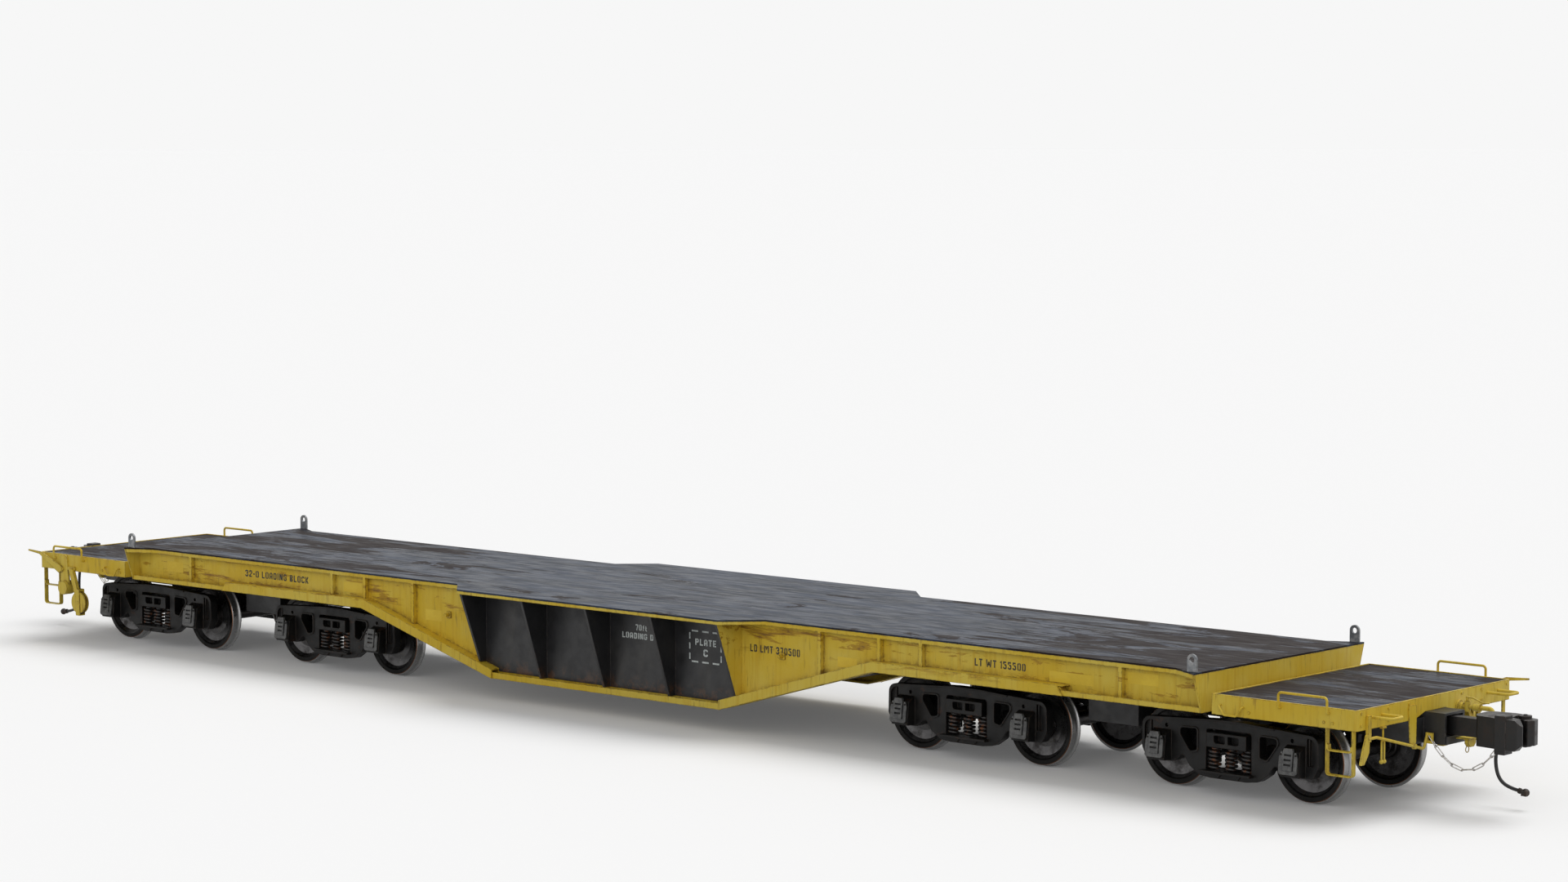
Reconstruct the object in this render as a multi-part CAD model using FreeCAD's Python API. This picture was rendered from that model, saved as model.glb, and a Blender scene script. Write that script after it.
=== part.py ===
import FreeCAD, Part
import math
import os

V = FreeCAD.Vector

# Eight-axle heavy-duty flatcar. Millimetres, +X along the car, +Z up, the origin midway along the car
# at the lowest point of the wheel flanges. The car looks the same turned half round about Z, so each end
# is drawn once at +X as end b, and end a is end b turned half round.

# ---------------------------------------------------------------- driving sizes
# wheelsets, with the rail gauge that they run on
tread_radius = 457.0
flange_height = 25.0
back_to_back = 1360.0
rim_width = 140.0
rim_thickness = 72.0
plate_thickness = 26.0
hub_radius = 142.0
hub_length = 178.0
axle_radius = 84.0
journal_radius = 76.0
journal_clearance = 0.05
axle_end_gap = 2.0
axle_overhang = 118.0

# trucks: two wheelsets each, two trucks under each span bolster
truck_wheelbase = 1778.0
truck_spacing = 3683.0
journal_spacing = 2006.0
frame_thickness = 120.0
frame_rise = 378.0
frame_drop = 276.0
frame_overhang = 283.0
frame_cap_height = 20.0
frame_cap_proud = 14.0
frame_foot_depth = 50.0
spring_diameter = 154.0
spring_pitch = 220.0
spring_side_gap = 8.0
spring_seat_drop = 186.0
spring_height = 262.0
bolster_width = 524.0
bolster_end_height = 158.0
bolster_pocket_width = 150.0
bolster_pocket_inset = 18.0
truck_bearing_gap = 7.0
bolster_reach = 1112.0
journal_box_width = 236.0
journal_box_reach = 1186.0
lid_lean = 0.115
centre_plate_radius = 190.0
centre_plate_step = 22.0
king_pin_radius = 40.0
king_pin_depth = 110.0
king_pin_clearance = 0.05

# deck and side girders
deck_half_length = 9040.0
deck_thickness = 20.0
deck_edge = 1442.0
deck_end_edge = 1647.0
deck_end_taper = 390.0
deck_mid_edge = 1843.5
deck_mid_half_length = 2230.0
deck_mid_taper = 410.0
girder_depth = 452.0
girder_drop = 691.0
belly_half_length = 1940.0
slope_end = 4372.0
web_inside = 1360.0
web_thickness = 20.0
edge_band_height = 67.0
flange_thickness = 26.0
flange_inside = 1250.0
flange_outside = 1506.0
flange_lip_height = 60.0
fascia_height = 118.0
fascia_thickness = 20.0
fascia_half_length = 7150.0
fascia_belly_gap = 1950.0
belly_edge_height = 78.0
belly_edge_overlap = 12.0
stiffener_width = 50.0
stiffener_places = (3485.0, 4400.0, 5030.0, 7890.0)
bay_pitch = 1102.0
bay_gusset_thickness = 34.0
skin_thickness = 8.0
mid_band_height = 58.0
end_plate_thickness = 20.0
wheel_to_body_gap = 27.0

# frame under the deck
sill_half_width = 330.0
sill_depth = 260.0
bearer_thickness = 30.0
bearer_places = (0.0, 1102.0, 2204.0, 3485.0, 4900.0, 6300.0, 8200.0)
bearer_lift = 90.0
body_plate_radius = 250.0
body_plate_thickness = 25.0
bearing_offset = 560.0
bearing_radius = 90.0

# span bolsters and end platforms
span_centre_setback = 1792.5
span_half_width = 380.0
span_top_gap = 0.3
span_plate_height = 26.0
span_tail = 520.0
span_belly_half_length = 350.0
span_belly_half_width = 700.0
span_belly_drop = 165.0
platform_gap = 146.0
platform_length = 1861.0
platform_half_width = 1521.0
platform_height = 223.0
platform_lift = 11.0
platform_sill = 24.0
tread_thickness = 10.0
tread_recess = 8.0
draft_half_width = 195.0
draft_overhang = 243.0
draft_floor_drop = 200.0
draft_roof_rise = 140.0
draft_wall = 30.0
notch_margin = 12.0

# couplers
coupler_lift = 443.0
coupler_pivot_setback = 300.0
shank_width = 130.0
shank_height = 200.0
shank_length = 905.0
head_height = 330.0
pulling_face = 1200.0
knuckle_height = 270.0
knuckle_clearance = 6.0
knuckle_pin_radius = 21.0
knuckle_pin_clearance = 0.05
shank_pin_radius = 42.0
mouth_half_width = 162.0

# lashing lugs
lug_width = 126.0
lug_height = 196.0
lug_thickness = 26.0
lug_eye_radius = 33.0
lug_edge_margin = 14.0

# hand rails, steps and rods
rail_diameter = 28.0
rail_far = 967.0
rail_near = 347.0
step_width = 58.0
step_thickness = 16.0
step_drop = 505.0
step_setback = 400.0
step_tread_span = 345.0
rod_diameter = 32.0
hose_diameter = 40.0
pipe_radius = 24.0
pipe_clearance = 0.5
pipe_offset = 462.0
pipe_lift = 52.0
elbow_drop = 106.0

# ---------------------------------------------------------------- heights and places that follow
axle_z = tread_radius + flange_height
wheel_top = axle_z + tread_radius + flange_height
body_z = wheel_top + wheel_to_body_gap
deck_z = body_z + girder_depth
belly_z = body_z - girder_drop
wheel_back = back_to_back / 2
journal_y = journal_spacing / 2
axle_x = truck_wheelbase / 2
span_x = deck_half_length - span_centre_setback
truck_places = (-span_x - truck_spacing / 2, -span_x + truck_spacing / 2,
                span_x - truck_spacing / 2, span_x + truck_spacing / 2)
spring_seat_z = axle_z - spring_seat_drop
bolster_bottom = spring_seat_z + spring_height
bolster_top = bolster_bottom + bolster_end_height
truck_plate_z = bolster_top + centre_plate_step
span_bottom = truck_plate_z + span_plate_height
span_top = body_z - body_plate_thickness - span_top_gap
platform_x0 = deck_half_length + platform_gap
platform_x1 = platform_x0 + platform_length
platform_z0 = body_z + platform_lift
platform_z1 = platform_z0 + platform_height
draft_x1 = platform_x1 + draft_overhang
coupler_z = axle_z + coupler_lift
coupler_x = platform_x1 - coupler_pivot_setback
draft_z0 = coupler_z - draft_floor_drop
draft_z1 = coupler_z + draft_roof_rise
face_x = platform_x1 + pulling_face
pipe_y = pipe_offset
pipe_z = platform_z0 + pipe_lift


# ---------------------------------------------------------------- shape helpers
def box(x0, x1, y0, y1, z0, z1):
    return Part.makeBox(x1 - x0, y1 - y0, z1 - z0, V(x0, y0, z0))


def corner(before, here, after):
    """Ends and middle of the arc of radius here[2] that rounds the corner at here."""
    a = (before[0] - here[0], before[1] - here[1])
    b = (after[0] - here[0], after[1] - here[1])
    la, lb = math.hypot(*a), math.hypot(*b)
    a, b = (a[0] / la, a[1] / la), (b[0] / lb, b[1] / lb)
    half = math.acos(max(-1.0, min(1.0, a[0] * b[0] + a[1] * b[1]))) / 2
    reach = here[2] / math.tan(half)
    mid = (a[0] + b[0], a[1] + b[1])
    lm = math.hypot(*mid)
    out = here[2] / math.sin(half) - here[2]
    return ((here[0] + a[0] * reach, here[1] + a[1] * reach),
            (here[0] + mid[0] / lm * out, here[1] + mid[1] / lm * out),
            (here[0] + b[0] * reach, here[1] + b[1] * reach))


def face(points, place):
    """Flat face through 2-D points (a, b) or (a, b, corner radius), placed in space by place(a, b)."""
    runs = []
    n = len(points)
    for i, point in enumerate(points):
        if len(point) == 3 and point[2] > 0:
            runs.append(corner(points[i - 1], point, points[(i + 1) % n]))
        else:
            runs.append((point[:2],))
    edges = []
    for i, run in enumerate(runs):
        if len(run) == 3:
            edges.append(Part.Arc(*[place(*p) for p in run]).toShape())
        start, end = place(*run[-1]), place(*runs[(i + 1) % n][0])
        if (end - start).Length > 1e-6:
            edges.append(Part.LineSegment(start, end).toShape())
    return Part.Face(Part.Wire(edges))


def along_y(points, y0, y1):
    return face(points, lambda a, b: V(a, y0, b)).extrude(V(0, y1 - y0, 0))


def along_z(points, z0, z1):
    return face(points, lambda a, b: V(a, b, z0)).extrude(V(0, 0, z1 - z0))


def along_x(points, x0, x1):
    return face(points, lambda a, b: V(x0, a, b)).extrude(V(x1 - x0, 0, 0))


def cyl(x, y, z, radius, length, axis=V(0, 0, 1)):
    return Part.makeCylinder(radius, length, V(x, y, z), axis)


def join(shapes):
    shapes = list(shapes)
    return shapes[0].multiFuse(shapes[1:]).removeSplitter() if len(shapes) > 1 else shapes[0]


def moved(shape, x=0.0, y=0.0, z=0.0):
    copy = shape.copy()
    copy.translate(V(x, y, z))
    return copy


def half_turned(shape):
    copy = shape.copy()
    copy.rotate(V(0, 0, 0), V(0, 0, 1), 180)
    return copy


def mirrored_y(shape):
    return shape.mirror(V(0, 0, 0), V(0, 1, 0))


def mirrored_x(shape):
    return shape.mirror(V(0, 0, 0), V(1, 0, 0))


def bent_rod(points, diameter, bends):
    """Round bar through points, with an arc of radius bends (or bends[i]) at each inner point."""
    points = [V(*p) for p in points]
    edges = []
    here = points[0]
    for i in range(1, len(points) - 1):
        radius = bends[i - 1] if isinstance(bends, (list, tuple)) else bends
        a = (points[i - 1] - points[i]).normalize()
        b = (points[i + 1] - points[i]).normalize()
        half = a.getAngle(b) / 2
        reach = radius / math.tan(half)
        start, end = points[i] + a * reach, points[i] + b * reach
        mid = points[i] + (a + b).normalize() * (radius / math.sin(half) - radius)
        edges.append(Part.LineSegment(here, start).toShape())
        edges.append(Part.Arc(start, mid, end).toShape())
        here = end
    edges.append(Part.LineSegment(here, points[-1]).toShape())
    path = Part.Wire(edges)
    ring = Part.Wire([Part.makeCircle(diameter / 2, points[0], points[1] - points[0])])
    rod = path.makePipeShell([ring], True, False)
    if abs(rod.Volume / (math.pi * diameter ** 2 / 4 * path.Length) - 1) > 0.001:
        print("a bent rod's volume is off its section times its length")
    return rod


def save(name, shapes):
    shapes = shapes if isinstance(shapes, (list, tuple)) else [shapes]
    solids = [solid for shape in shapes for solid in shape.Solids]
    shape = solids[0] if len(solids) == 1 else Part.makeCompound(solids)
    shape.exportStep("parts/" + name + ".step")


# ---------------------------------------------------------------- deck and side girders
def deck_outline(inset=0.0):
    """Plan of the deck: wide at the ends, narrow between, widest at the middle."""
    quarter = [(deck_half_length - inset, deck_end_edge - inset),
               (deck_half_length - deck_end_taper, deck_edge - inset),
               (deck_mid_half_length + deck_mid_taper, deck_edge - inset),
               (deck_mid_half_length, deck_mid_edge - inset)]
    half = quarter + [(-x, y) for x, y in reversed(quarter)]
    return half + [(-x, -y) for x, y in half]


def deck():
    return along_z(deck_outline(), deck_z - deck_thickness, deck_z)


def girder_bottom(half_length, offset):
    """Lower edge of a side girder, offset upwards, from end to end."""
    return [(half_length, body_z + offset), (slope_end, body_z + offset),
            (belly_half_length, belly_z + offset), (-belly_half_length, belly_z + offset),
            (-slope_end, body_z + offset), (-half_length, body_z + offset)]


def girder_low(x):
    """Height of the lower edge of a side girder at x."""
    share = (abs(x) - belly_half_length) / (slope_end - belly_half_length)
    return belly_z + girder_drop * max(0.0, min(1.0, share))


def web():
    top = deck_z - deck_thickness
    half = deck_half_length - end_plate_thickness
    outline = [(-half, top), (half, top)] + girder_bottom(half, 0)
    return along_y(outline, web_inside, web_inside + web_thickness)


def bottom_flange():
    half = deck_half_length - end_plate_thickness
    plate = along_y(girder_bottom(half, 0) + girder_bottom(half, flange_thickness)[::-1],
                    flange_inside, flange_outside)
    lip = along_y(girder_bottom(half, 0) + girder_bottom(half, flange_lip_height)[::-1],
                  flange_outside - 14, flange_outside)
    return [plate, lip]


def edge_band():
    """Upright band under the edge of the deck, outside the web and clear of the middle bays."""
    bottom, top = deck_z - edge_band_height, deck_z - deck_thickness
    start = deck_mid_half_length + deck_mid_taper
    bend = deck_half_length - deck_end_taper
    depth = 16.0
    outline = [(start, deck_edge), (bend, deck_edge), (deck_half_length - end_plate_thickness, deck_end_edge - 10),
               (deck_half_length - end_plate_thickness, deck_end_edge - 10 - depth),
               (bend + 5, deck_edge - depth), (start, deck_edge - depth)]
    one = along_z(outline, bottom, top)
    return [one, mirrored_x(one)]


def stiffeners():
    outer = deck_edge
    pieces = []
    for place in stiffener_places:
        one = box(place - stiffener_width / 2, place + stiffener_width / 2, web_inside + web_thickness, outer,
                  girder_low(place), deck_z - deck_thickness)
        pieces += [one, mirrored_x(one)]
    return pieces


def fascia():
    """Doubler on the lower edge of the girder: an upright plate with a sloping top back to the web."""
    top_slope = 24.0
    band = 14.0
    outer = flange_outside + fascia_thickness

    def strip(low, high, y0, y1):
        outline = [(fascia_half_length, body_z + low), (slope_end, body_z + low),
                   (fascia_belly_gap, belly_z + low), (fascia_belly_gap, belly_z + high),
                   (slope_end - 40, body_z + high), (fascia_half_length - 90, body_z + high)]
        return along_y(outline, y0, y1)

    front = strip(0, fascia_height, flange_outside, outer)
    top = strip(fascia_height - band, fascia_height, web_inside + web_thickness, flange_outside)
    cap = along_y([(fascia_half_length, body_z + flange_thickness), (fascia_half_length - 60, body_z + 96),
                   (fascia_half_length - 90, body_z + 96), (fascia_half_length - 90, body_z + flange_thickness)],
                  web_inside + web_thickness + top_slope, flange_outside - 14)
    one = join([front, top, cap])
    return [one, mirrored_x(one)]


def belly_edge():
    """Plain lower edge of the girder under the middle bays."""
    half = fascia_belly_gap + belly_edge_overlap
    return [box(-half, half, flange_outside - 14, flange_outside, belly_z, belly_z + belly_edge_height)]


def pegs():
    """Small towing pegs on the webs."""
    pieces = []
    for x in (-2860.0, 2860.0):
        pieces.append(cyl(x, web_inside + web_thickness, deck_z - 420, 22, 75, V(0, 1, 0)))
        pieces.append(box(x - 40, x + 40, web_inside + web_thickness, web_inside + web_thickness + 14,
                          deck_z - 460, deck_z - 380))
    return pieces


def mid_edge_band():
    """Upright yellow band round the wide middle of the deck."""
    bottom, top = deck_z - mid_band_height, deck_z - deck_thickness
    start = deck_mid_half_length + deck_mid_taper
    depth = 16.0
    outline = [(start, deck_edge), (deck_mid_half_length, deck_mid_edge), (-deck_mid_half_length, deck_mid_edge),
               (-start, deck_edge), (-start, deck_edge - depth), (-deck_mid_half_length + 6, deck_mid_edge - depth),
               (deck_mid_half_length - 6, deck_mid_edge - depth), (start, deck_edge - depth)]
    return [along_z(outline, bottom, top)]


def side_girder():
    pieces = [web(), *bottom_flange(), *edge_band(), *stiffeners(), *fascia(), *belly_edge(), *pegs(),
              *mid_edge_band()]
    return join(pieces)


def middle_bay():
    """Black bays: skin plates over the web between tapered gussets under the wide middle of the deck."""
    top = deck_z - deck_thickness
    band_low = deck_z - mid_band_height
    skin_y = web_inside + web_thickness
    half = bay_pitch * 2
    low = belly_z + belly_edge_height
    gap = fascia_belly_gap - 1
    start_low, end_low = girder_low(gap) + fascia_height + 1, girder_low(half) + fascia_height + 1
    outline = [(half, top), (half, end_low), (gap, start_low), (gap, low)]
    outline += [(-x, z) for x, z in reversed(outline)]
    pieces = [along_y(outline, skin_y, skin_y + skin_thickness)]
    for i in range(-2, 3):
        foot = low if abs(i) < 2 else end_low
        rib = [(skin_y, foot), (flange_outside - 16, foot), (deck_mid_edge - 17, band_low), (deck_mid_edge - 17, top),
               (skin_y, top)]
        x = i * bay_pitch
        x -= math.copysign(bay_gusset_thickness / 2, i) if abs(i) == 2 else 0
        pieces.append(along_x(rib, x - bay_gusset_thickness / 2, x + bay_gusset_thickness / 2))
    return join(pieces)


def end_plates():
    outline = [(-flange_outside, body_z), (flange_outside, body_z), (deck_end_edge, deck_z - deck_thickness),
               (-deck_end_edge, deck_z - deck_thickness)]
    one = along_x(outline, deck_half_length - end_plate_thickness, deck_half_length)
    return [one, mirrored_x(one)]


def centre_sill():
    top = deck_z - deck_thickness
    half = deck_half_length - end_plate_thickness
    beam = box(-half, half, -sill_half_width, sill_half_width, body_z, top)
    belly = along_y([(-slope_end + 700, body_z), (slope_end - 700, body_z), (belly_half_length, belly_z + 190),
                     (-belly_half_length, belly_z + 190)], -sill_half_width, sill_half_width)
    plates = []
    for x in (-span_x, span_x):
        plates.append(cyl(x, 0, body_z - body_plate_thickness, body_plate_radius, body_plate_thickness))
        plates.append(cyl(x, 0, body_z - body_plate_thickness - king_pin_depth, king_pin_radius, king_pin_depth))
    return join([beam, belly, *plates])


def cross_bearers():
    """Floor beams from girder to girder on both sides of the centre sill."""
    top = deck_z - deck_thickness
    pieces = []
    for place in bearer_places:
        low = girder_low(place) + bearer_lift
        for sign in ((1, -1) if place else (1,)):
            one = box(sign * place - bearer_thickness / 2, sign * place + bearer_thickness / 2,
                      sill_half_width, web_inside, low, top)
            pieces += [one, mirrored_y(one)]
    for sign in (1, -1):
        one = box(sign * span_x - 210, sign * span_x + 210, sill_half_width, web_inside, body_z + 40, top)
        pad = cyl(sign * span_x, bearing_offset, body_z - 6, bearing_radius, 46)
        one = join([one, pad])
        pieces += [one, mirrored_y(one)]
    return pieces


def lashing_lugs():
    """Upright eye plates at the four corners of the deck."""
    pieces = []
    x1 = deck_half_length - lug_edge_margin
    y = deck_end_edge - 75.0
    outline = [(x1 - lug_width, deck_z), (x1, deck_z), (x1, deck_z + lug_height, lug_width / 2 - 0.1),
               (x1 - lug_width, deck_z + lug_height, lug_width / 2 - 0.1)]
    eye = cyl(x1 - lug_width / 2, y - lug_thickness, deck_z + lug_height - lug_width / 2, lug_eye_radius,
              lug_thickness * 3, V(0, 1, 0))
    one = along_y(outline, y - lug_thickness / 2, y + lug_thickness / 2).cut(eye)
    for shape in (one, mirrored_y(one)):
        pieces += [shape, mirrored_x(shape)]
    return pieces


# ---------------------------------------------------------------- wheelsets and trucks
def wheelset(x):
    """Two wheels on their axle, turned about the axle's line."""
    inner, outer = wheel_back, wheel_back + rim_width
    flange_radius = tread_radius + flange_height
    rim_inside = tread_radius - rim_thickness
    hub_in = wheel_back - 14.0
    hub_out = hub_in + hub_length
    axle_end = journal_y + axle_overhang
    side = [(0, axle_radius), (hub_in - 40, axle_radius), (hub_in - 30, axle_radius + 16), (hub_in, axle_radius + 16),
            (hub_in, hub_radius - 12), (hub_in + 12, hub_radius), (hub_in + 46, hub_radius + 8),
            (hub_in + 50, hub_radius + 110), (inner + 46, rim_inside - 34), (inner + 14, rim_inside - 6),
            (inner, rim_inside + 8), (inner, flange_radius - 14), (inner + 6, flange_radius - 3),
            (inner + 14, flange_radius), (inner + 22, flange_radius - 3), (inner + 31, tread_radius + 8),
            (inner + 42, tread_radius), (outer - 12, tread_radius - 2), (outer, tread_radius - 14),
            (outer, rim_inside + 10), (outer - 12, rim_inside - 4), (inner + 46 + plate_thickness + 14, rim_inside - 40),
            (hub_in + 50 + plate_thickness, hub_radius + 104), (hub_in + 60 + plate_thickness, hub_radius + 26),
            (hub_out - 30, hub_radius + 4), (hub_out, hub_radius - 10), (hub_out, axle_radius + 12),
            (hub_out + 24, axle_radius + 12), (hub_out + 34, journal_radius), (axle_end, journal_radius)]
    half = [(y, r) for y, r in side[1:]]
    line = [(-y, r) for y, r in reversed(half)] + half
    points = [V(x, y, axle_z + r) for y, r in line]
    points += [V(x, axle_end, axle_z), V(x, -axle_end, axle_z)]
    wire = Part.makePolygon(points + [points[0]])
    return Part.Face(wire).revolve(V(x, 0, axle_z), V(0, 1, 0), 360)


def sideframe():
    """One cast side of a truck, centred at x = 0 on the +Y side, with its journal boxes."""
    end = axle_x + frame_overhang
    top, bottom = axle_z + frame_rise, axle_z - frame_drop
    half = [(180, top), (600, top - 26), (end - 8, top - 58, 100), (end, axle_z - 20, 90),
            (end - 70, axle_z - 147, 45), (axle_x - 150, axle_z - 147, 40), (615, axle_z - 40, 40),
            (520, axle_z - 172, 80), (390, bottom + 18, 90), (240, bottom)]
    outline = half + [(-p[0], *p[1:]) for p in reversed(half)]
    y0, y1 = journal_y - frame_thickness / 2, journal_y + frame_thickness / 2
    body = along_y(outline, y0, y1)
    opening_half = spring_pitch + spring_diameter / 2 + spring_side_gap
    opening_top = bolster_top + 32
    opening = along_y([(-opening_half, spring_seat_z, 6), (opening_half, spring_seat_z, 6),
                       (opening_half - 6, opening_top, 30), (-opening_half + 6, opening_top, 30)], y0 - 1, y1 + 1)
    window = [(opening_half + 112, opening_top - 14, 30), (opening_half + 336, opening_top - 20, 36),
              (opening_half + 338, axle_z + 176, 30), (opening_half + 206, axle_z - 6, 40),
              (opening_half + 112, axle_z + 16, 30)]
    body = body.cut(opening)
    rims = []
    for sign in (1, -1):
        hole = [(sign * a, *rest) for a, *rest in window]
        body = body.cut(along_y(hole, y0 - 1, y1 + 1))
        rim = along_y([(sign * a, *rest) for a, *rest in grown(window, 15)], y1, y1 + frame_cap_proud)
        rims.append(rim.cut(along_y(hole, y0, y1 + frame_cap_proud + 1)))
        panel = [(sign * (end - 34), top - 88, 90), (sign * (end - 36), axle_z - 10, 40),
                 (sign * (axle_x + journal_box_width / 2 + 16), axle_z - 10, 12),
                 (sign * (axle_x + journal_box_width / 2 + 16), top - 88, 12)]
        body = body.cut(along_y(panel, y1 - 34, y1 + 1))
        rib = box(min(sign * (axle_x + 158), sign * (axle_x + 172)), max(sign * (axle_x + 158), sign * (axle_x + 172)),
                  y1 - 36, y1 - 4, axle_z - 20, top - 70)
        rims.append(rib)
        body = body.cut(cyl(sign * (axle_x - 54), y1 - 40, axle_z + 247, 22, 60, V(0, 1, 0)))
        rims.append(journal_box(sign * axle_x))
    cap = [(180, top), (600, top - 26), (600, top - 26 - frame_cap_height), (180, top - frame_cap_height)]
    cap = cap[:3] + [cap[3]] + [(-a, b) for a, b in (cap[3], cap[2], cap[1], cap[0])]
    rims.append(along_y(cap, y1 - 1, y1 + frame_cap_proud))
    for sign in (1, -1):
        foot = [(sign * 90, bottom + 6 + frame_foot_depth), (sign * 170, bottom + 6 + frame_foot_depth),
                (sign * 130, bottom + 6)]
        rims.append(along_y(foot, y1 - 1, y1 + frame_cap_proud))
    seat = box(-opening_half - 30, opening_half + 30, journal_y - 150, journal_y + 150, spring_seat_z - 26,
               spring_seat_z)
    body = join([body, *rims, seat])
    for sign in (1, -1):
        bore = cyl(sign * axle_x, y0 - 200, axle_z, journal_radius + journal_clearance,
                   journal_y + axle_overhang + axle_end_gap - (y0 - 200), V(0, 1, 0))
        throat = cyl(sign * axle_x, y0 - 200, axle_z, axle_radius + 20, 200 + 22, V(0, 1, 0))
        body = body.cut(bore).cut(throat)
    return body


def grown(outline, by):
    """The outline moved outwards from its middle by about the given distance, corners rounded as before."""
    cx = sum(p[0] for p in outline) / len(outline)
    cz = sum(p[1] for p in outline) / len(outline)
    result = []
    for p in outline:
        dx, dz = p[0] - cx, p[1] - cz
        length = math.hypot(dx, dz)
        scale = (length + by * 1.6) / length
        result.append((cx + dx * scale, cz + dz * scale, p[2] + by))
    return result


def journal_box(x):
    """Journal box with a sloping front and its lid, on the +Y side."""
    half = journal_box_width / 2
    y0 = journal_y - frame_thickness / 2 - 30
    reach = journal_box_reach
    profile = [(y0, axle_z - 147, 30), (reach + 18, axle_z - 128, 12), (reach - 14, axle_z + 150, 30),
               (journal_y + frame_thickness / 2, axle_z + 205), (y0, axle_z + 205)]
    shell = along_x(profile, x - half, x + half)
    lid_top, lid_bottom = axle_z + 168, axle_z - 106
    lid = face([(x - half, lid_bottom, 18), (x + half, lid_bottom, 18), (x + half - 22, lid_top - 70, 30),
                (x + 52, lid_top, 16), (x - 52, lid_top, 16), (x - half + 22, lid_top - 70, 30)],
               lambda a, b: V(a, reach + 12 - (b - lid_bottom) * lid_lean, b)).extrude(V(0, 30, 3))
    rib = face([(x - 62, lid_bottom + 52, 12), (x + 52, lid_bottom + 52, 12), (x + 40, lid_top - 6, 14),
                (x - 40, lid_top - 6, 14)],
               lambda a, b: V(a, reach + 30 - (b - lid_bottom) * lid_lean, b)).extrude(V(0, 26, 3))
    return join([shell, lid, rib])


def sideframes(x):
    one = moved(sideframe(), x)
    return [one, mirrored_y(one)]


def truck_bolster(x):
    """Beam across the truck between the spring groups, with the plate and bore for the king pin."""
    half = bolster_width / 2
    inner = journal_y - 190
    outline = [(-bolster_reach, bolster_bottom), (-bolster_reach, bolster_top), (bolster_reach, bolster_top),
               (bolster_reach, bolster_bottom), (inner, bolster_bottom), (inner - 130, bolster_bottom - 120),
               (-inner + 130, bolster_bottom - 120), (-inner, bolster_bottom)]
    beam = along_x(outline, x - half, x + half)
    plate = cyl(x, 0, bolster_top, centre_plate_radius, centre_plate_step)
    bearing_height = span_bottom - bolster_top - truck_bearing_gap
    bearings = [cyl(x, sign * bearing_offset, bolster_top, bearing_radius, bearing_height) for sign in (1, -1)]
    beam = join([beam, plate, *bearings])
    for sign in (1, -1):
        for side in (1, -1):
            near, far = bolster_pocket_inset, bolster_pocket_inset + bolster_pocket_width
            low, high = bolster_bottom + 44, bolster_top - 26
            pocket = along_y([(x + side * near, low, 10), (x + side * far, low, 36),
                              (x + side * far, high, 20), (x + side * near, high, 10)],
                             min(sign * bolster_reach, sign * (bolster_reach - 90)),
                             max(sign * bolster_reach, sign * (bolster_reach - 90)))
            beam = beam.cut(pocket)
    return beam.cut(cyl(x, 0, truck_plate_z - king_pin_depth - 20, king_pin_radius + king_pin_clearance,
                        king_pin_depth + 40))


def spring_nests(x):
    """Three coil springs in each side frame, as plain cylinders of their outer size."""
    return [cyl(x + i * spring_pitch, side * journal_y, spring_seat_z, spring_diameter / 2, spring_height)
            for side in (1, -1) for i in (-1, 0, 1)]


def brake_beams(x):
    """Brake beams inside the truck, with a shoe at each wheel."""
    pieces = []
    shoe_y = wheel_back + rim_width * 0.62
    gap = 12.0
    for side in (1, -1):
        bar = box(x + side * 330 - 45, x + side * 330 + 45, -shoe_y - 40, shoe_y + 40, axle_z - 70, axle_z + 10)
        parts = [bar]
        for hand in (1, -1):
            block = box(min(side * 330, side * 445) + x, max(side * 330, side * 445) + x,
                        hand * shoe_y - 42, hand * shoe_y + 42, axle_z - 150, axle_z + 110)
            wheel = cyl(x + side * axle_x, hand * shoe_y - 60, axle_z, tread_radius + gap, 120, V(0, 1, 0))
            parts.append(block.cut(wheel))
        parts.append(bar_hanger(x, side))
        pieces.append(join(parts))
    return pieces


def bar_hanger(x, side):
    """Strut from a brake beam to the truck bolster."""
    return box(min(x + side * 285, x + side * bolster_width / 2), max(x + side * 285, x + side * bolster_width / 2),
               -60, 60, axle_z - 60, axle_z)


# ---------------------------------------------------------------- span bolster and end platform (end b)
def span_bolster():
    z0 = span_bottom
    x0 = span_x - truck_spacing / 2 - span_tail
    x1 = coupler_x - 340
    belly = z0 - span_belly_drop
    outline = [(x0, z0 + 60), (x0 + 120, z0), (span_x - span_belly_half_length - 480, z0),
               (span_x - span_belly_half_length, belly), (span_x + span_belly_half_length, belly),
               (span_x + span_belly_half_length + 480, z0), (x1, z0), (x1, span_top), (x0, span_top)]
    beam = along_y(outline, -span_half_width, span_half_width)
    wide = box(span_x - span_belly_half_length, span_x + span_belly_half_length, -span_belly_half_width,
               span_belly_half_width, belly, span_top - 8)
    pads = [cyl(span_x, sign * bearing_offset, span_top - 60, bearing_radius, 60 - 6) for sign in (1, -1)]
    plates = []
    wing_x, wing_y = bearing_radius + 30, bearing_offset + bearing_radius + 20
    for x in (span_x - truck_spacing / 2, span_x + truck_spacing / 2):
        plates.append(box(x - wing_x, x + wing_x, -wing_y, wing_y, z0, span_top - 8))
        plates.append(cyl(x, 0, truck_plate_z, centre_plate_radius, 40))
        plates.append(cyl(x, 0, truck_plate_z - king_pin_depth, king_pin_radius, king_pin_depth + 10))
    body = join([beam, wide, *pads, *plates])
    return body.cut(cyl(span_x, 0, span_top - king_pin_depth - 20, king_pin_radius + king_pin_clearance,
                        king_pin_depth + 60))


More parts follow.
